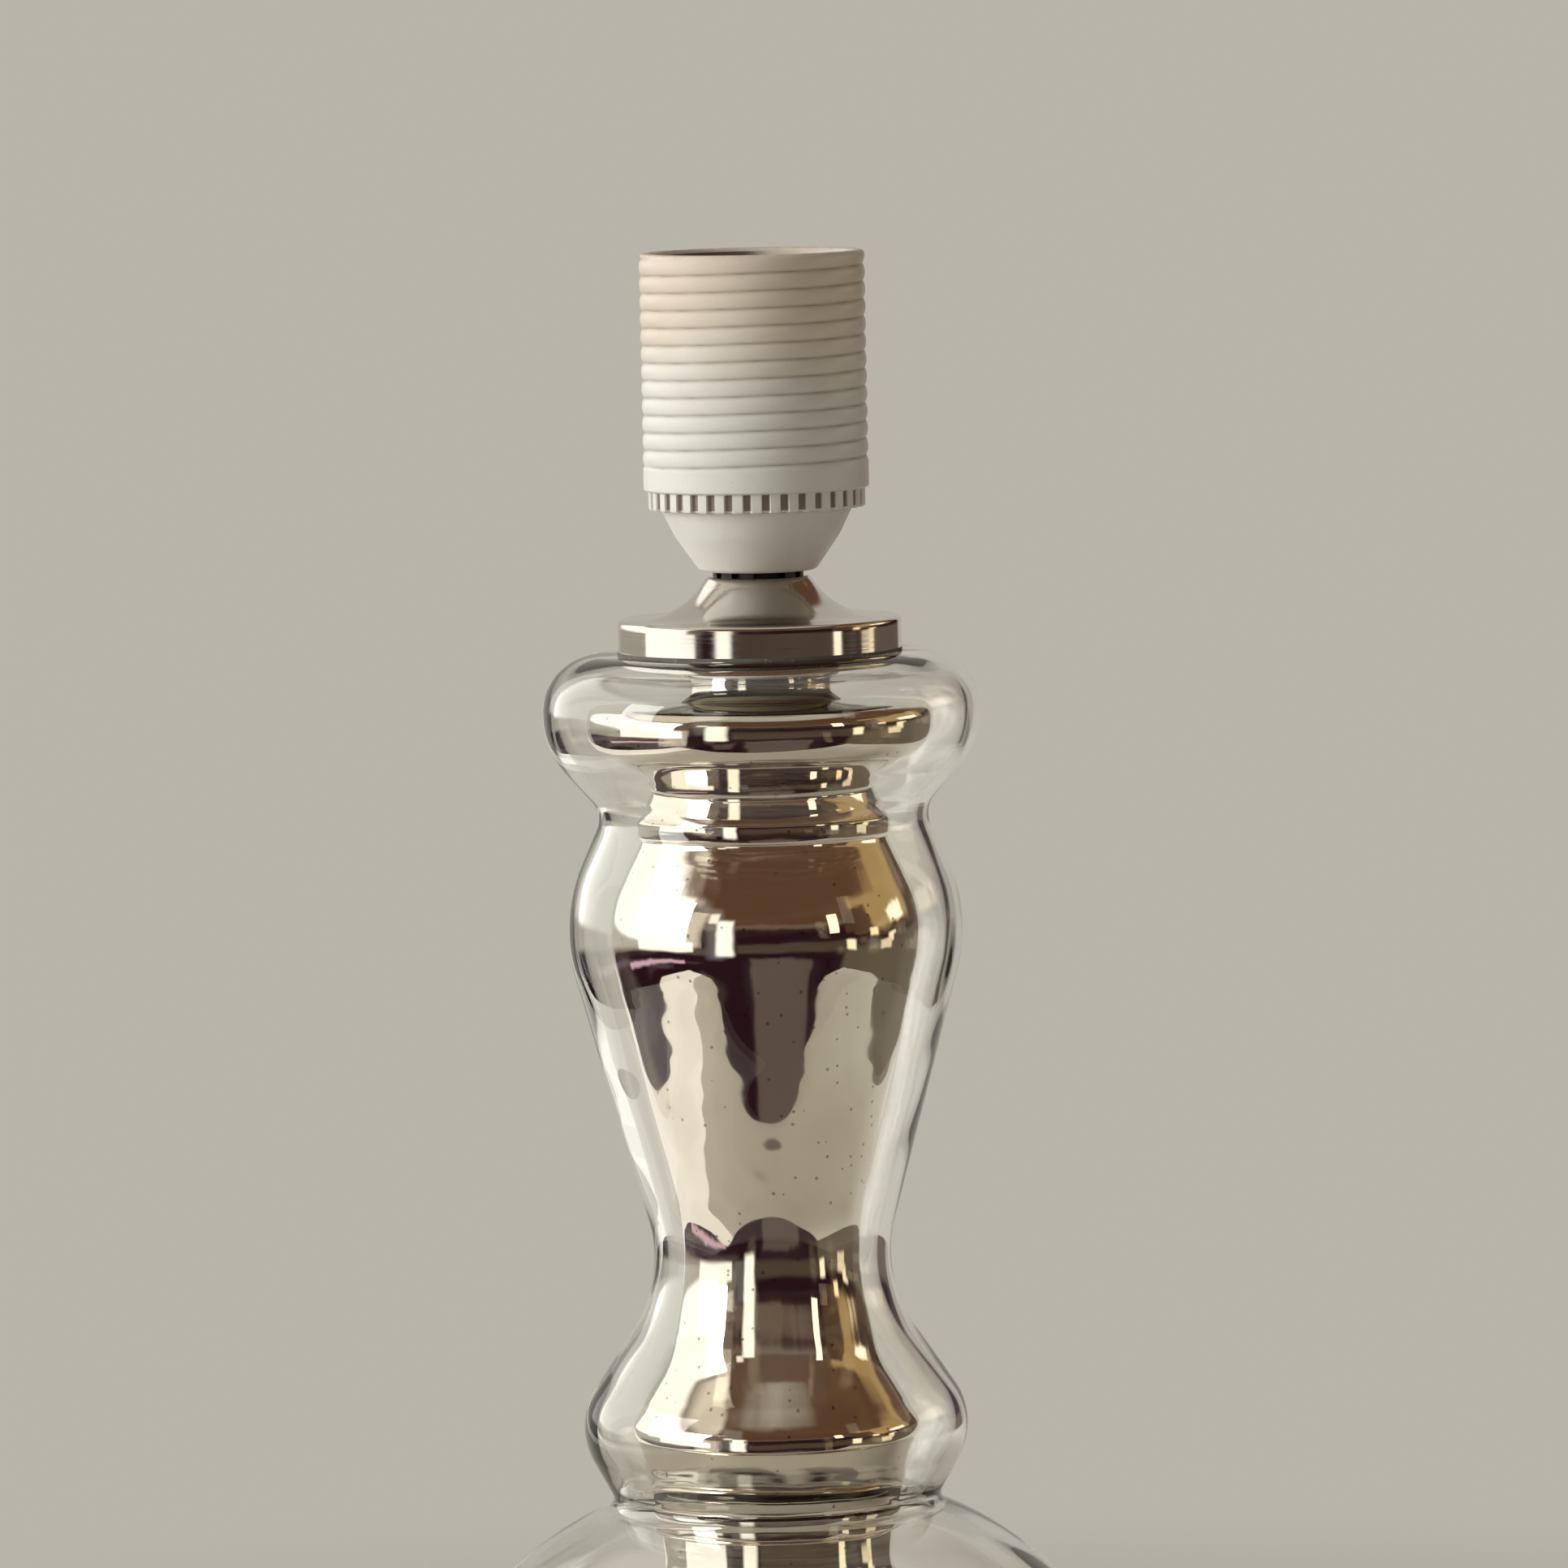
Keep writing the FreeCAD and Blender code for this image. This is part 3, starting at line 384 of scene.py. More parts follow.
def sums(tree, operation, first, second=None, third=None):
    """One Math node; each argument is a number or another node's output."""
    node = tree.nodes.new("ShaderNodeMath")
    node.operation = operation
    for socket, value in zip(node.inputs, (first, second, third)):
        if isinstance(value, (int, float)):
            socket.default_value = value
        elif value is not None:
            tree.links.new(value, socket)
    return node.outputs[0]


def ranged(tree, value, low, high, to_low=0.0, to_high=1.0):
    """Maps a value from one range to another with a soft start and end."""
    node = tree.nodes.new("ShaderNodeMapRange")
    node.interpolation_type = "SMOOTHSTEP"
    for label, number in (("From Min", low), ("From Max", high), ("To Min", to_low), ("To Max", to_high)):
        node.inputs[label].default_value = number
    tree.links.new(value, node.inputs["Value"])
    return node.outputs[0]


def off_axis(tree, parts):
    """The distance from the lamp's axis: the square root of x squared plus y squared."""
    x2 = sums(tree, "MULTIPLY", parts.outputs["X"], parts.outputs["X"])
    return sums(tree, "SQRT", sums(tree, "MULTIPLY_ADD", parts.outputs["Y"], parts.outputs["Y"], x2))


# %% [markdown]
# **Unevenness** is soft noise, coarse and fine at once, pushed apart by a contrast.

# %% Group: unevenness
uneven, given, result = new_group(
    "unevenness", {"Patches per metre": 60.0, "Contrast": 2.0, "Detail": 4.0}, ["Mask", "Height"])
place = uneven.nodes.new("ShaderNodeTexCoord")
soft = uneven.nodes.new("ShaderNodeTexNoise")
uneven.links.new(place.outputs["Object"], soft.inputs["Vector"])
uneven.links.new(given.outputs["Patches per metre"], soft.inputs["Scale"])
uneven.links.new(given.outputs["Detail"], soft.inputs["Detail"])
centred = sums(uneven, "SUBTRACT", soft.outputs["Fac"], 0.5)
spread = sums(uneven, "MULTIPLY", centred, given.outputs["Contrast"])
mask = sums(uneven, "ADD", spread, 0.5)
clamp = uneven.nodes.new("ShaderNodeClamp")
uneven.links.new(mask, clamp.inputs["Value"])
uneven.links.new(clamp.outputs[0], result.inputs["Mask"])
uneven.links.new(soft.outputs["Fac"], result.inputs["Height"])

# %% [markdown]
# **Turned lines** are what a spinner's or turner's tool leaves: noise that changes with the radius and the
# height but hardly round the piece.

# %% Group: turned lines
lines, given, result = new_group("turned lines", {"Lines per metre": 1500.0, "Wander": 0.02}, ["Mask"])
place = lines.nodes.new("ShaderNodeTexCoord")
split = lines.nodes.new("ShaderNodeSeparateXYZ")
lines.links.new(place.outputs["Object"], split.inputs[0])
radius = off_axis(lines, split)
join = lines.nodes.new("ShaderNodeCombineXYZ")
lines.links.new(radius, join.inputs["X"])
lines.links.new(sums(lines, "MULTIPLY", split.outputs["X"], given.outputs["Wander"]), join.inputs["Y"])
lines.links.new(split.outputs["Z"], join.inputs["Z"])
fine = lines.nodes.new("ShaderNodeTexNoise")
fine.inputs["Detail"].default_value = 3.0
lines.links.new(join.outputs[0], fine.inputs["Vector"])
lines.links.new(given.outputs["Lines per metre"], fine.inputs["Scale"])
lines.links.new(fine.outputs["Fac"], result.inputs["Mask"])

# %% [markdown]
# **Specks** are pinholes in silvering, pits in iron and flecks in plastic: small cells, of which only those
# with a low random value keep a spot.

# %% Group: specks
specks, given, result = new_group("specks", {"Specks per metre": 900.0, "Size": 0.25}, ["Mask"])
place = specks.nodes.new("ShaderNodeTexCoord")
cells = specks.nodes.new("ShaderNodeTexVoronoi")
specks.links.new(place.outputs["Object"], cells.inputs["Vector"])
specks.links.new(given.outputs["Specks per metre"], cells.inputs["Scale"])
near = sums(specks, "LESS_THAN", cells.outputs["Distance"], given.outputs["Size"])
tone = specks.nodes.new("ShaderNodeSeparateColor")
share_kept = 0.3
specks.links.new(cells.outputs["Color"], tone.inputs[0])
kept = sums(specks, "LESS_THAN", tone.outputs[0], share_kept)
specks.links.new(sums(specks, "MULTIPLY", near, kept), result.inputs["Mask"])

# %% [markdown]
# **Dust** settles on faces that look up, more in some places than in others.

# %% Group: dust
dust, given, result = new_group("settled dust", {"Amount": 0.5}, ["Mask"])
facing = dust.nodes.new("ShaderNodeNewGeometry")
split = dust.nodes.new("ShaderNodeSeparateXYZ")
dust.links.new(facing.outputs["Normal"], split.inputs[0])
up = ranged(dust, split.outputs["Z"], 0.35, 1.0)
place = dust.nodes.new("ShaderNodeTexCoord")
fluff = dust.nodes.new("ShaderNodeTexNoise")
fluff.inputs["Scale"].default_value = 700.0
fluff.inputs["Detail"].default_value = 5.0
dust.links.new(place.outputs["Object"], fluff.inputs["Vector"])
grain = ranged(dust, fluff.outputs["Fac"], 0.38, 0.68)
settled = sums(dust, "MULTIPLY", up, grain)
dust.links.new(sums(dust, "MULTIPLY", settled, given.outputs["Amount"]), result.inputs["Mask"])
print("groups:", [g.name for g in bpy.data.node_groups])


# %% [markdown]
# A finish is then put together like paint: a first colour, a second colour where a mask says so, a roughness
# that moves between two values with another mask, and a bump. The small class keeps that wiring out of sight.

# %% The finish builder
class Finish:
    """A material with its Principled shader, and short ways to place groups, mix colours and feed sockets."""

    def __init__(self, name, **constants):
        self.material = bpy.data.materials.new(name)
        self.material.use_nodes = True
        self.tree = self.material.node_tree
        self.shader = self.tree.nodes["Principled BSDF"]
        for label, value in constants.items():
            self.shader.inputs[label.replace("_", " ")].default_value = value

    def place(self, group, output="Mask", **values):
        """Places a group with its own values and returns one output."""
        node = self.tree.nodes.new("ShaderNodeGroup")
        node.node_tree = group
        for label, value in values.items():
            node.inputs[label.replace("_", " ")].default_value = value
        return node.outputs[output]

    def blend(self, mask, first, second):
        """A colour between two: each is a colour or another output."""
        node = self.tree.nodes.new("ShaderNodeMix")
        node.data_type = "RGBA"
        self.tree.links.new(mask, node.inputs["Factor"])
        for label, value in (("A", first), ("B", second)):
            socket = next(s for s in node.inputs if s.name == label and s.type == "RGBA")
            if isinstance(value, tuple):
                socket.default_value = (*value, 1)
            else:
                self.tree.links.new(value, socket)
        return next(s for s in node.outputs if s.type == "RGBA")

    def colour(self, output):
        """The base colour is the output."""
        self.tree.links.new(output, self.shader.inputs["Base Color"])

    def roughness(self, mask, low, high):
        """Roughness that runs from low to high with the mask."""
        self.tree.links.new(ranged(self.tree, mask, 0.0, 1.0, low, high), self.shader.inputs["Roughness"])

    def bump(self, height, depth):
        """A bump whose height, in metres, is the output times depth."""
        node = self.tree.nodes.new("ShaderNodeBump")
        node.inputs["Distance"].default_value = depth
        self.tree.links.new(height, node.inputs["Height"])
        self.tree.links.new(node.outputs["Normal"], self.shader.inputs["Normal"])

    def on(self, *pieces):
        """Puts the finish on pieces, in place of what they had."""
        for piece in pieces:
            piece.data.materials.clear()
            piece.data.materials.append(self.material)
        print(self.material.name, "on", ", ".join(p.name for p in pieces))


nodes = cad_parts

# %% [markdown]
# ## Silvered glass
# Silver laid on the inside of glass is a warm mirror with a clear coat over it, which is what the coat weight
# gives. Age shows as a slightly browner tone in patches and as pinholes, and a soft bump bends what it mirrors.

# %% The silvering
silvering = Finish("silvered glass", Metallic=1.0, Coat_Weight=1.0, Coat_Roughness=0.01, Coat_IOR=1.5)
patches = silvering.place(uneven, Patches_per_metre=45.0, Contrast=2.6)
tone = silvering.blend(patches, (0.93, 0.88, 0.80), (0.84, 0.76, 0.66))
pinholes = silvering.place(specks, Specks_per_metre=520.0, Size=0.16)
silvering.colour(silvering.blend(pinholes, tone, (0.42, 0.33, 0.26)))
silvering.roughness(silvering.place(uneven, Patches_per_metre=130.0, Contrast=2.0), 0.012, 0.06)
silvering.bump(silvering.place(uneven, "Height", Patches_per_metre=85.0, Detail=1.0), 0.00022)
silvering.on(column)

# %% [markdown]
# ## Clear glass
# Ordinary lamp glass is faintly green, here a little more in some places. Its surface keeps the mould's
# softness: a very slow bump, and a roughness near zero that rises a little where hands have touched it.

# %% The clear glass
clear = Finish("clear glass", IOR=1.47, Transmission_Weight=1.0, Metallic=0.0)
greener = clear.place(uneven, Patches_per_metre=25.0, Contrast=1.5)
clear.colour(clear.blend(greener, (0.99, 0.995, 0.98), (0.975, 0.985, 0.955)))
clear.roughness(clear.place(uneven, Patches_per_metre=60.0, Contrast=3.0), 0.0, 0.012)
clear.bump(clear.place(uneven, "Height", Patches_per_metre=38.0, Detail=1.0), 0.0008)
clear.on(jacket)

# %% [markdown]
# ## Polished plating
# The cap and the foot are spun, plated and polished. The lines of the spinning show as fine rings in the bump
# and in the roughness, there only where fingers have left duller patches.

# %% The plating
plating = Finish("polished plating", Metallic=1.0)
smear = plating.place(uneven, Patches_per_metre=70.0, Contrast=2.4)
plating.colour(plating.blend(smear, (0.80, 0.775, 0.73), (0.70, 0.67, 0.61)))
rings = plating.place(lines, Lines_per_metre=2600.0, Wander=0.03)
plating.roughness(sums(plating.tree, "MULTIPLY", rings, smear), 0.07, 0.30)
plating.bump(rings, 0.000012)
plating.on(cap, pan)

# %% [markdown]
# ## White plastic
# The lampholder is white thermoplastic. A hot lamp has turned its upper half cream, while the lower half is
# still cool white. The change runs with the height, made ragged by noise. The plastic has a faint grain, and
# dust lies on what faces up.

# %% The plastic
aged_from, aged_to = 0.256, 0.277
white = Finish("white plastic", IOR=1.5)
place = white.tree.nodes.new("ShaderNodeTexCoord")
split = white.tree.nodes.new("ShaderNodeSeparateXYZ")
white.tree.links.new(place.outputs["Object"], split.inputs[0])
cloud = white.place(uneven, Patches_per_metre=55.0, Contrast=2.0)
aged_at = sums(white.tree, "MULTIPLY_ADD", cloud, 0.008, split.outputs["Z"])
aged = ranged(white.tree, aged_at, aged_from, aged_to)
fresh = white.blend(cloud, (0.80, 0.80, 0.76), (0.77, 0.765, 0.72))
warm = white.blend(cloud, (0.78, 0.70, 0.60), (0.74, 0.645, 0.54))
body_tone = white.blend(aged, fresh, warm)
flecks = white.place(specks, Specks_per_metre=1400.0, Size=0.12)
body_tone = white.blend(sums(white.tree, "MULTIPLY", flecks, 0.5), body_tone, (0.45, 0.38, 0.30))
body_tone = white.blend(white.place(dust, Amount=0.5), body_tone, (0.46, 0.42, 0.36))

# %% [markdown]
# The bottom of the grooves is painted dark brown as painted shade. How deep a point lies is the radius of
# the crests at its height minus its own radius. The grip ring's notches get darker painted shade than the thread,
# and the rim and the underside are left out. Inside the mouth, the left side is painted dark brown as a painted
# shadow.

# %% Painted shade in the grooves and a painted shadow inside the rim
# The grooves' dark brown is painted shade: a colour that stands in for the shade in the grooves and notches.
unshaded_depth, full_shade_depth = 0.0001, 0.00048
shade_in_notches, less_shade_in_thread = 0.85, -0.35
shadow_up_to, unshadowed_from = -0.002, 0.004
radius = off_axis(white.tree, split)
above_grip = sums(white.tree, "GREATER_THAN", split.outputs["Z"], (band_level - 0.2) / 1000)
crest_step = (shade_crest - grip_crest) / 1000
crest = sums(white.tree, "MULTIPLY_ADD", above_grip, crest_step, grip_crest / 1000)
depth = sums(white.tree, "SUBTRACT", crest, radius)
on_outside = sums(white.tree, "GREATER_THAN", radius, 0.0178)
groove_shade = sums(white.tree, "MULTIPLY", ranged(white.tree, depth, unshaded_depth, full_shade_depth), on_outside)
off_underside = sums(white.tree, "GREATER_THAN", split.outputs["Z"], (sleeve_level + 0.45) / 1000)
groove_shade = sums(white.tree, "MULTIPLY", groove_shade, off_underside)
off_rim = sums(white.tree, "LESS_THAN", split.outputs["Z"], (rim_level - 0.9) / 1000)
groove_shade_amount = sums(white.tree, "MULTIPLY_ADD", above_grip, less_shade_in_thread, shade_in_notches)
groove_shade = sums(white.tree, "MULTIPLY", sums(white.tree, "MULTIPLY", groove_shade, off_rim), groove_shade_amount)
body_tone = white.blend(groove_shade, body_tone, (0.22, 0.17, 0.125))
# The left half of the mouth's inner wall is painted dark brown: a painted shadow, not heat.
within = sums(white.tree, "LESS_THAN", radius, 0.01745)
high_up = sums(white.tree, "GREATER_THAN", split.outputs["Z"], (rim_level - 30) / 1000)
inside_mouth = sums(white.tree, "MULTIPLY", within, high_up)
on_left = ranged(white.tree, split.outputs["X"], shadow_up_to, unshadowed_from, 1.0, 0.0)
painted_mouth_shadow = sums(white.tree, "MULTIPLY", inside_mouth, on_left)
white.colour(white.blend(painted_mouth_shadow, body_tone, (0.16, 0.125, 0.095)))
white.roughness(white.place(uneven, Patches_per_metre=300.0, Contrast=1.6), 0.28, 0.46)
white.bump(white.place(uneven, "Height", Patches_per_metre=2200.0, Detail=3.0), 0.00002)
white.on(sleeve, dome)

# %% [markdown]
# ## Finishes of the inner and lower pieces
# The rest is seen only from below or down the socket, but it gets the same care: felt, rubber, zinc plating,
# blued steel, cast iron, brass and the socket's heat-proof moulding. One function covers them, since they
# differ only in their two tones, their grain, and whether they are metal.

# %% A function for the plain finishes
def plain_finish(name, light, dark, rough, patches=80.0, grain=1500.0, depth=0.00002, metallic=0.0, speck=None,
                 **constants):
    """Two tones mixed by slow noise, optional specks, a roughness range moved by noise three times as quick,
    and a grain bump."""
    made = Finish(name, Metallic=metallic, **constants)
    tone = made.blend(made.place(uneven, Patches_per_metre=patches, Contrast=2.2), light, dark)
    if speck:
        tone = made.blend(made.place(specks, Specks_per_metre=grain * 0.6, Size=0.3), tone, speck)
    made.colour(tone)
    made.roughness(made.place(uneven, Patches_per_metre=patches * 3, Contrast=2.0), *rough)
    made.bump(made.place(uneven, "Height", Patches_per_metre=grain, Detail=4.0), depth)
    return made


# %% Felt, rubber and iron
plain_finish("green felt", (0.045, 0.085, 0.055), (0.03, 0.06, 0.04), (0.9, 1.0), 120.0, 2600.0, 0.0003,
             speck=(0.07, 0.12, 0.08), Sheen_Weight=0.6).on(nodes["felt_pad"])
plain_finish("black rubber", (0.028, 0.028, 0.028), (0.018, 0.018, 0.019), (0.55, 0.8), 150.0, 1800.0,
             0.00004).on(inlet)
plain_finish("grey rubber", (0.17, 0.165, 0.15), (0.12, 0.115, 0.105), (0.6, 0.85), 120.0, 1800.0, 0.00004,
             speck=(0.24, 0.23, 0.21)).on(nodes["rim_gasket"], nodes["cap_seal"])
plain_finish("cast iron", (0.11, 0.11, 0.115), (0.07, 0.068, 0.068), (0.5, 0.8), 90.0, 700.0, 0.0003, metallic=0.6,
             speck=(0.16, 0.10, 0.06)).on(nodes["ballast_ring"])

# %% [markdown]
# The metals are told apart by their tone and by how far light spreads on them: blued steel is dark, zinc dull
# and grey, and the contacts' brass is brighter because springs and screws keep it clean.

# %% Steel, brass and plastics
zinc_pieces = ("base_cover", "clamp_cup", "cover_screws", "threaded_tube", "bottom_washer", "bottom_spring_washer",
               "bottom_nut", "entry_bush", "lock_grub_screw", "terminal_screws")
brass_pieces = ("centre_contact_foot", "centre_contact_tongue", "side_contact_foot", "side_contact_tongue",
                "contact_rivets", "terminal_blocks")
plain_finish("zinc plating", (0.62, 0.62, 0.61), (0.48, 0.49, 0.50), (0.25, 0.45), 160.0, 900.0, 0.00003,
             metallic=1.0).on(*(nodes[n] for n in zinc_pieces))
plain_finish("blued steel", (0.085, 0.075, 0.065), (0.05, 0.045, 0.045), (0.3, 0.5), 300.0, 1800.0, 0.00002,
             metallic=1.0).on(nodes["toothed_washer"])
plain_finish("contact brass", (0.80, 0.62, 0.30), (0.66, 0.47, 0.22), (0.2, 0.4), 300.0, 2500.0, 0.00001,
             metallic=1.0).on(*(nodes[n] for n in brass_pieces))
plain_finish("heat-proof moulding", (0.74, 0.72, 0.67), (0.66, 0.63, 0.57), (0.45, 0.65), 200.0, 1500.0, 0.00004,
             speck=(0.5, 0.46, 0.4)).on(block)
plain_finish("natural nylon", (0.82, 0.79, 0.70), (0.76, 0.72, 0.62), (0.35, 0.5), 120.0, 1500.0, 0.00003,
             Subsurface_Weight=0.1).on(nodes["centring_bush"])

# %% [markdown]
# ## The studio
# The floor is a pale sweep that takes the lamp's shadow near the foot and glows in the wall's colour further
# off, so that it joins the background without an edge. A mirror needs something to mirror: the floor and the
# world therefore have two faces. Rays that have been reflected at least once, which the Light Path node counts
# as Glossy Depth, see a softly drawn room, and in place of the endless floor a table that ends at three edges
# and has a bright strip on its left; all others see the plain wall and the sweep. Seen through glass, the glow
# is a fifth stronger, because the jacket would otherwise darken it too much.

# %% The floor
wall_colour = (0.485, 0.456, 0.402, 1)
glow_from, glow_full = 0.16, 0.42
table_front, table_left, table_right, strip_edge = -0.205, -0.335, 0.35, -0.24
more_through_glass = 0.2
reach = 12.0
floor_mesh = bpy.data.meshes.new("floor")
floor_corners = [(-reach, -reach, 0), (reach, -reach, 0), (reach, reach, 0), (-reach, reach, 0)]
floor_mesh.from_pydata(floor_corners, [], [(0, 1, 2, 3)])
floor = bpy.data.objects.new("floor", floor_mesh)
bpy.context.collection.objects.link(floor)

paint = bpy.data.materials.new("pale floor")
paint.use_nodes = True
tree = paint.node_tree
tree.nodes.clear()
path = tree.nodes.new("ShaderNodeLightPath")
place = tree.nodes.new("ShaderNodeTexCoord")
length = tree.nodes.new("ShaderNodeVectorMath")
length.operation = "LENGTH"
tree.links.new(place.outputs["Object"], length.inputs[0])
far = ranged(tree, length.outputs["Value"], glow_from, glow_full)
glow = tree.nodes.new("ShaderNodeEmission")
glow.inputs["Color"].default_value = wall_colour
matt = tree.nodes.new("ShaderNodeBsdfDiffuse")
matt.inputs["Color"].default_value = (0.74, 0.70, 0.61, 1)
see_through = tree.nodes.new("ShaderNodeBsdfTransparent")
near_mix, mirror_mix = tree.nodes.new("ShaderNodeMixShader"), tree.nodes.new("ShaderNodeMixShader")
not_diffuse = sums(tree, "SUBTRACT", 1.0, path.outputs["Is Diffuse Ray"])
tree.links.new(sums(tree, "MULTIPLY", far, not_diffuse), near_mix.inputs["Fac"])
tree.links.new(matt.outputs[0], near_mix.inputs[1])
tree.links.new(glow.outputs[0], near_mix.inputs[2])
ends = tree.nodes.new("ShaderNodeSeparateXYZ")
tree.links.new(place.outputs["Object"], ends.inputs[0])
seen_mirrored = sums(tree, "MINIMUM", path.outputs["Glossy Depth"], 1.0)
behind_front_edge = sums(tree, "GREATER_THAN", ends.outputs["Y"], table_front)
right_of_left_edge = sums(tree, "GREATER_THAN", ends.outputs["X"], table_left)
left_of_right_edge = sums(tree, "LESS_THAN", ends.outputs["X"], table_right)
table = sums(tree, "MULTIPLY", behind_front_edge, sums(tree, "MULTIPLY", right_of_left_edge, left_of_right_edge))
mirrored = sums(tree, "MULTIPLY", sums(tree, "SUBTRACT", 1.0, table), seen_mirrored)
sunlit = sums(tree, "MULTIPLY", sums(tree, "LESS_THAN", ends.outputs["X"], strip_edge), seen_mirrored)
bright_strip = tree.nodes.new("ShaderNodeEmission")
bright_strip.inputs["Color"].default_value = (1.05, 1.0, 0.92, 1)
strip_mix = tree.nodes.new("ShaderNodeMixShader")
tree.links.new(sunlit, strip_mix.inputs["Fac"])
tree.links.new(near_mix.outputs[0], strip_mix.inputs[1])
tree.links.new(bright_strip.outputs[0], strip_mix.inputs[2])
through_glass = sums(tree, "MINIMUM", path.outputs["Transmission Depth"], 1.0)
tree.links.new(sums(tree, "MULTIPLY_ADD", through_glass, more_through_glass, 1.0), glow.inputs["Strength"])
tree.links.new(mirrored, mirror_mix.inputs["Fac"])
tree.links.new(strip_mix.outputs[0], mirror_mix.inputs[1])
tree.links.new(see_through.outputs[0], mirror_mix.inputs[2])
out = tree.nodes.new("ShaderNodeOutputMaterial")
tree.links.new(mirror_mix.outputs[0], out.inputs["Surface"])
floor_mesh.materials.append(paint)

# %% [markdown]
# The room is drawn in two angles: the turn from the camera's side, negative to the left, and the height above
# the horizon. Soft-edged rectangles in these angles make the window, the darker things at eye level and the
# lamps on the right.

# %% The room's two angles
world = bpy.data.worlds.new("room")
bpy.context.scene.world = world
world.use_nodes = True
sky = world.node_tree
sky.nodes.clear()
place = sky.nodes.new("ShaderNodeTexCoord")
split = sky.nodes.new("ShaderNodeSeparateXYZ")
wobble = sky.nodes.new("ShaderNodeTexNoise")
wobble.inputs["Scale"].default_value = 5.0
wobble.inputs["Detail"].default_value = 3.0
sky.links.new(place.outputs["Generated"], split.inputs[0])
sky.links.new(place.outputs["Generated"], wobble.inputs["Vector"])
degrees = 57.3
towards_camera = sums(sky, "MULTIPLY", split.outputs["Y"], -1.0)
turn_angle = sums(sky, "MULTIPLY", sums(sky, "ARCTAN2", split.outputs["X"], towards_camera), degrees)
height_angle = sums(sky, "MULTIPLY", sums(sky, "ARCSINE", split.outputs["Z"]), degrees)
ragged = sums(sky, "SUBTRACT", wobble.outputs["Fac"], 0.5)


def between(angle, low, high, edge):
    """A mask of 1 from low to high, which rises and falls over twice the edge."""
    rise = ranged(sky, angle, low - edge, low + edge)
    return sums(sky, "MULTIPLY", rise, ranged(sky, angle, high - edge, high + edge, 1.0, 0.0))


def patch(turn_low, turn_high, height_low, height_high, edge, rough):
    """A mask of 1 inside a rectangle of the two angles, in degrees, with soft edges that noise makes ragged."""
    turn_here = sums(sky, "MULTIPLY_ADD", ragged, rough, turn_angle)
    height_here = sums(sky, "MULTIPLY_ADD", ragged, rough, height_angle)
    inside = between(turn_here, turn_low, turn_high, edge)
    return sums(sky, "MULTIPLY", inside, between(height_here, height_low, height_high, edge))


def over(below, mask, colour):
    """Lays a colour over what is below, where the mask is 1."""
    node = sky.nodes.new("ShaderNodeMix")
    node.data_type = "RGBA"
    sky.links.new(mask, node.inputs["Factor"])
    first, second = [s for s in node.inputs if s.type == "RGBA"]
    if isinstance(below, tuple):
        first.default_value = (*below, 1)
    else:
        sky.links.new(below, first)
    second.default_value = (*colour, 1)
    return next(s for s in node.outputs if s.type == "RGBA")


# %% [markdown]
# Each line of the table is one thing in the room: its turn from and to, its height from and to, how soft and
# how ragged its edge is, and its colour, where a value over 1 gives light. Later lines lie over earlier ones.

# %% Draw the room
in_the_room = [
    (-152, 152, -95, 14, 3, 6, (0.022, 0.007, 0.012)),         # the dark lower half all round the camera
    (-152, 152, 13, 58, 5, 6, (0.115, 0.060, 0.033)),          # the brown wall above it
    (-12, 34, -60, -14, 2, 8, (0.12, 0.09, 0.08)),             # something grey low in front
    (60, 152, -60, -4, 3, 8, (0.13, 0.105, 0.075)),            # and low on the right
    (70, 132, 4, 30, 3, 10, (0.45, 0.30, 0.13)),               # the right wall in warm light
    (62, 84, 3, 24, 2, 14, (0.09, 0.05, 0.03)),                # a dark thing before it
    (102, 124, 5, 14, 2, 8, (1.9, 1.6, 1.15)),                 # the lamps on the right
    (82, 89, 0, 5, 1.2, 3, (1.6, 1.2, 0.7)),
    (100, 109, -5, 0, 1.2, 3, (1.4, 1.2, 0.8)),
    (-44, -36, 18, 26, 1.5, 0, (1.2, 1.1, 1.0)),               # a small light and a narrow window on the left
    (-36, -23, -12, 20, 2, 4, (1.5, 1.45, 1.3)),
    (-60, -48, -4, 34, 2.5, 3, (0.17, 0.13, 0.11)),            # the wall between the windows
    (-152, -61, -2, 36, 2.5, 3, (1.45, 1.40, 1.30)),           # the large window
    (-152, -106, -8, -2, 1.2, 0, (0.40, 0.37, 0.31)),          # its sill, dull and then in the light
    (-106, -54, -7.5, 0, 1.2, 0, (1.45, 1.40, 1.30)),
    (62, 70, -8, -1, 1.2, 3, (1.5, 1.3, 0.95)),                # two glints on the right
    (92, 104, -9, -3, 1.2, 3, (1.0, 0.85, 0.6)),
    (-122, -62, -17, -14, 1.0, 4, (0.75, 0.50, 0.62)),         # a rosy line below the sill
    (-20, 62, -9, -1, 1.5, 0, (0.085, 0.060, 0.042)),          # dark things at the table's height
    (106, 152, -9, -1, 1.5, 0, (0.13, 0.10, 0.08)),
    (-150, -60, 40, 76, 4, 4, (0.78, 0.70, 0.60)),             # the ceiling near the window
]
room = wall_colour[:3]
for *bounds, colour in in_the_room:
    room = over(room, patch(*bounds), colour)
print("room nodes:", len(sky.nodes))

# %% [markdown]
# Rays that light matt faces see neither the room nor the wall, but a plain light that is stronger from the
# left. So the picture in the mirrors can be changed without changing how the white plastic is lit.

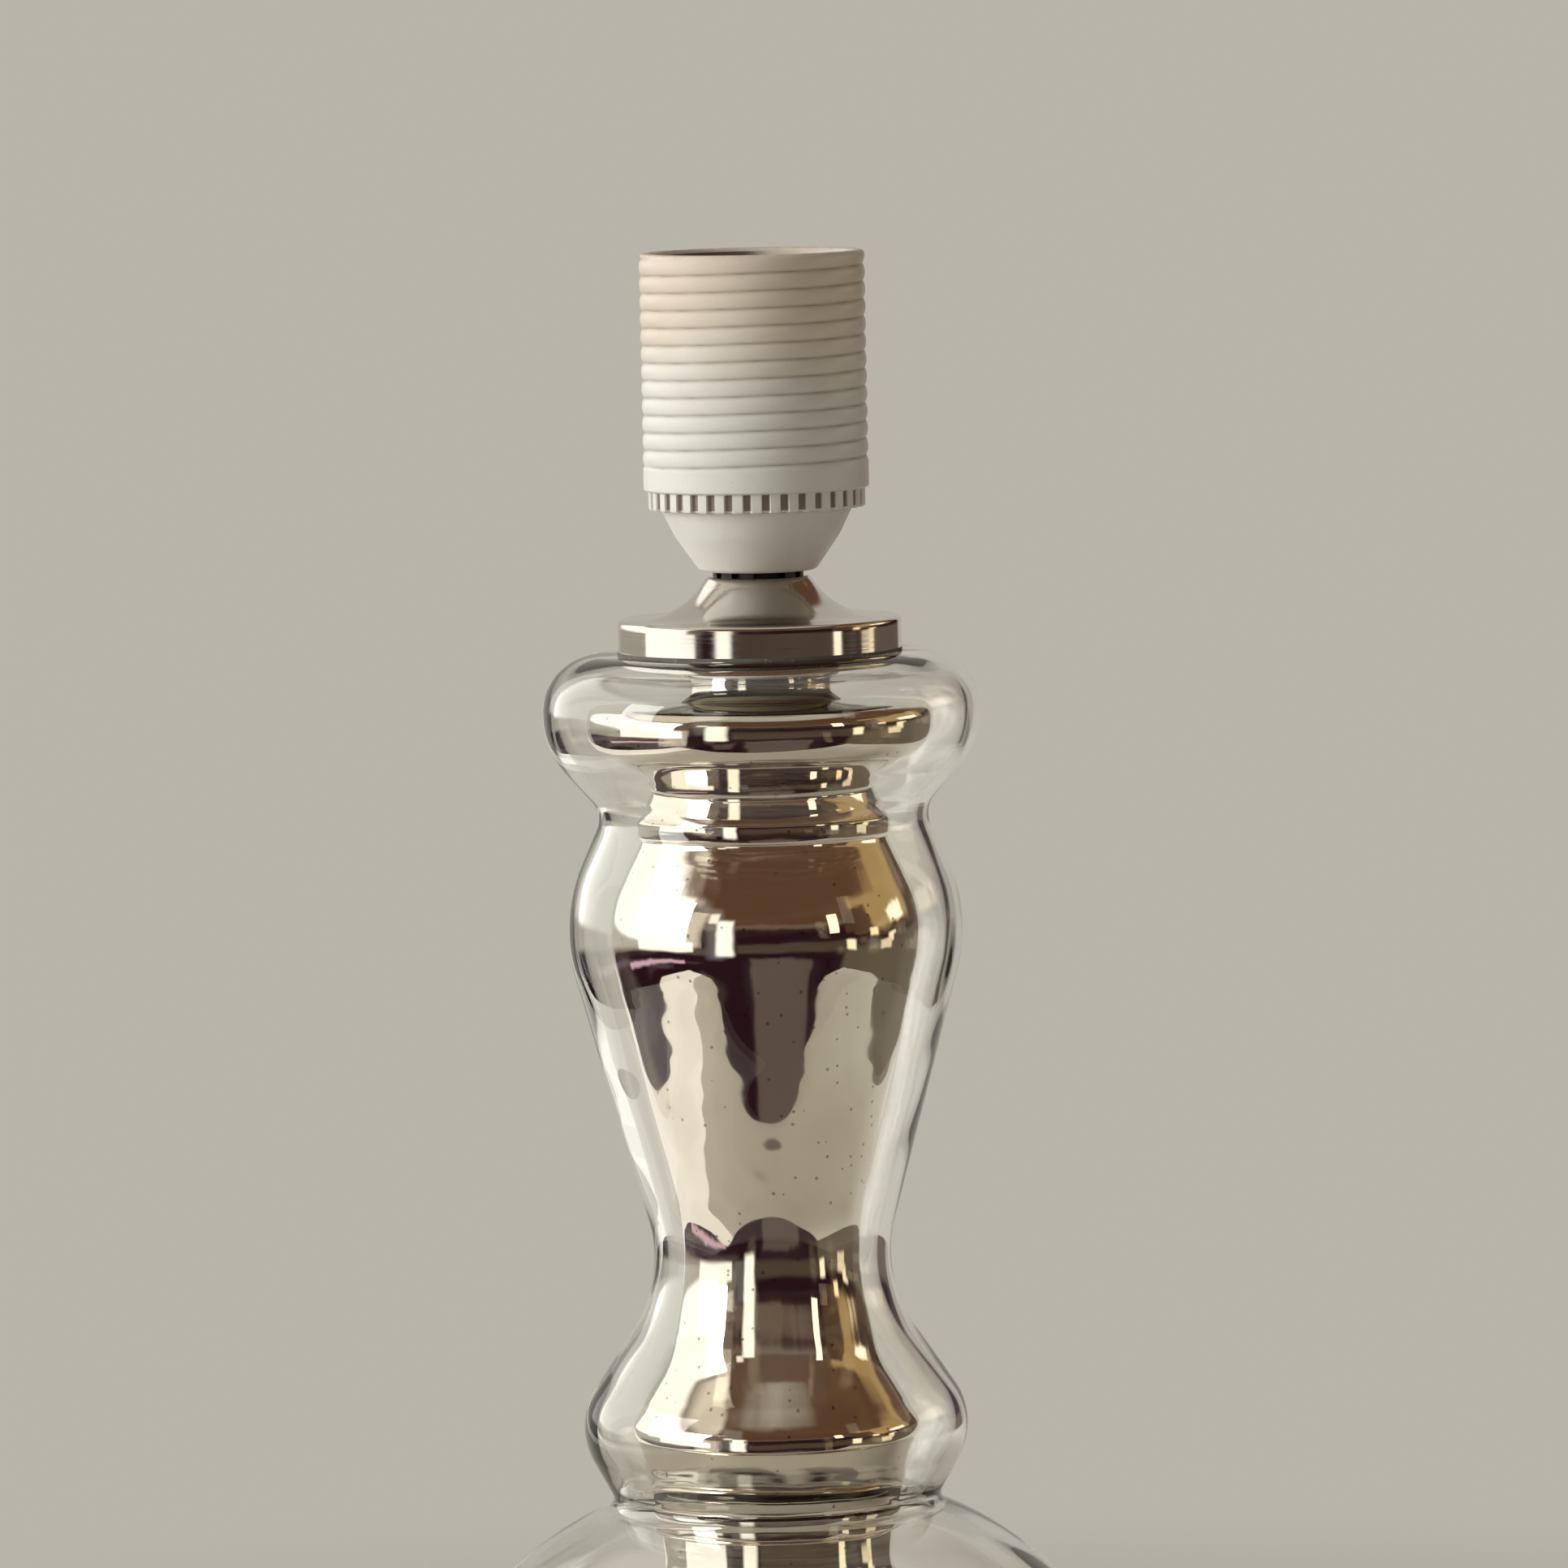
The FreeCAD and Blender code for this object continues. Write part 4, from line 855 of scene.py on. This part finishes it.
# %% Join the room and the plain wall
left_light, right_light, ambient_strength = (1.0, 0.98, 0.94), (0.34, 0.29, 0.23), 0.40
path = sky.nodes.new("ShaderNodeLightPath")


def light(colour, strength=1.0):
    """A Background shader."""
    node = sky.nodes.new("ShaderNodeBackground")
    node.inputs["Strength"].default_value = strength
    if isinstance(colour, tuple):
        node.inputs["Color"].default_value = colour
    else:
        sky.links.new(colour, node.inputs["Color"])
    return node.outputs[0]


def either(mask, first, second):
    """A Mix Shader between two backgrounds."""
    node = sky.nodes.new("ShaderNodeMixShader")
    sky.links.new(mask, node.inputs["Fac"])
    sky.links.new(first, node.inputs[1])
    sky.links.new(second, node.inputs[2])
    return node.outputs[0]


from_left = over(left_light, ranged(sky, split.outputs["X"], -0.6, 0.7), right_light)
plain_or_room = either(sums(sky, "MINIMUM", path.outputs["Glossy Depth"], 1.0), light(wall_colour), light(room))
everything = either(path.outputs["Is Diffuse Ray"], plain_or_room, light(from_left, ambient_strength))
out = sky.nodes.new("ShaderNodeOutputWorld")
sky.links.new(everything, out.inputs["Surface"])


# %% [markdown]
# One large soft lamp stands for the window on the left. It lights the white plastic strongly from that side,
# and a weak warm one fills the right.

# %% The lamps
middle = Vector((0, 0, 0.15))


def soft_lamp(name, spot, width, height, power, colour):
    """A rectangular area lamp that looks at the candlestick's middle and that mirrors don't show."""
    lamp = bpy.data.lights.new(name, "AREA")
    lamp.shape = "RECTANGLE"
    lamp.size, lamp.size_y = width, height
    lamp.energy, lamp.color = power, colour
    holder = bpy.data.objects.new(name, lamp)
    bpy.context.collection.objects.link(holder)
    holder.location = spot
    holder.rotation_mode = "QUATERNION"
    holder.rotation_quaternion = (middle - Vector(spot)).to_track_quat("-Z", "Y")
    holder.visible_glossy = False
    return holder


soft_lamp("window", spot=(-1.7, -0.55, 0.7), width=0.8, height=1.1, power=26, colour=(1.0, 0.98, 0.95))
soft_lamp("room_lamp", spot=(1.4, -1.1, 0.6), width=0.25, height=0.5, power=0.8, colour=(1.0, 0.85, 0.62))
bpy.context.scene.view_settings.view_transform = "Standard"
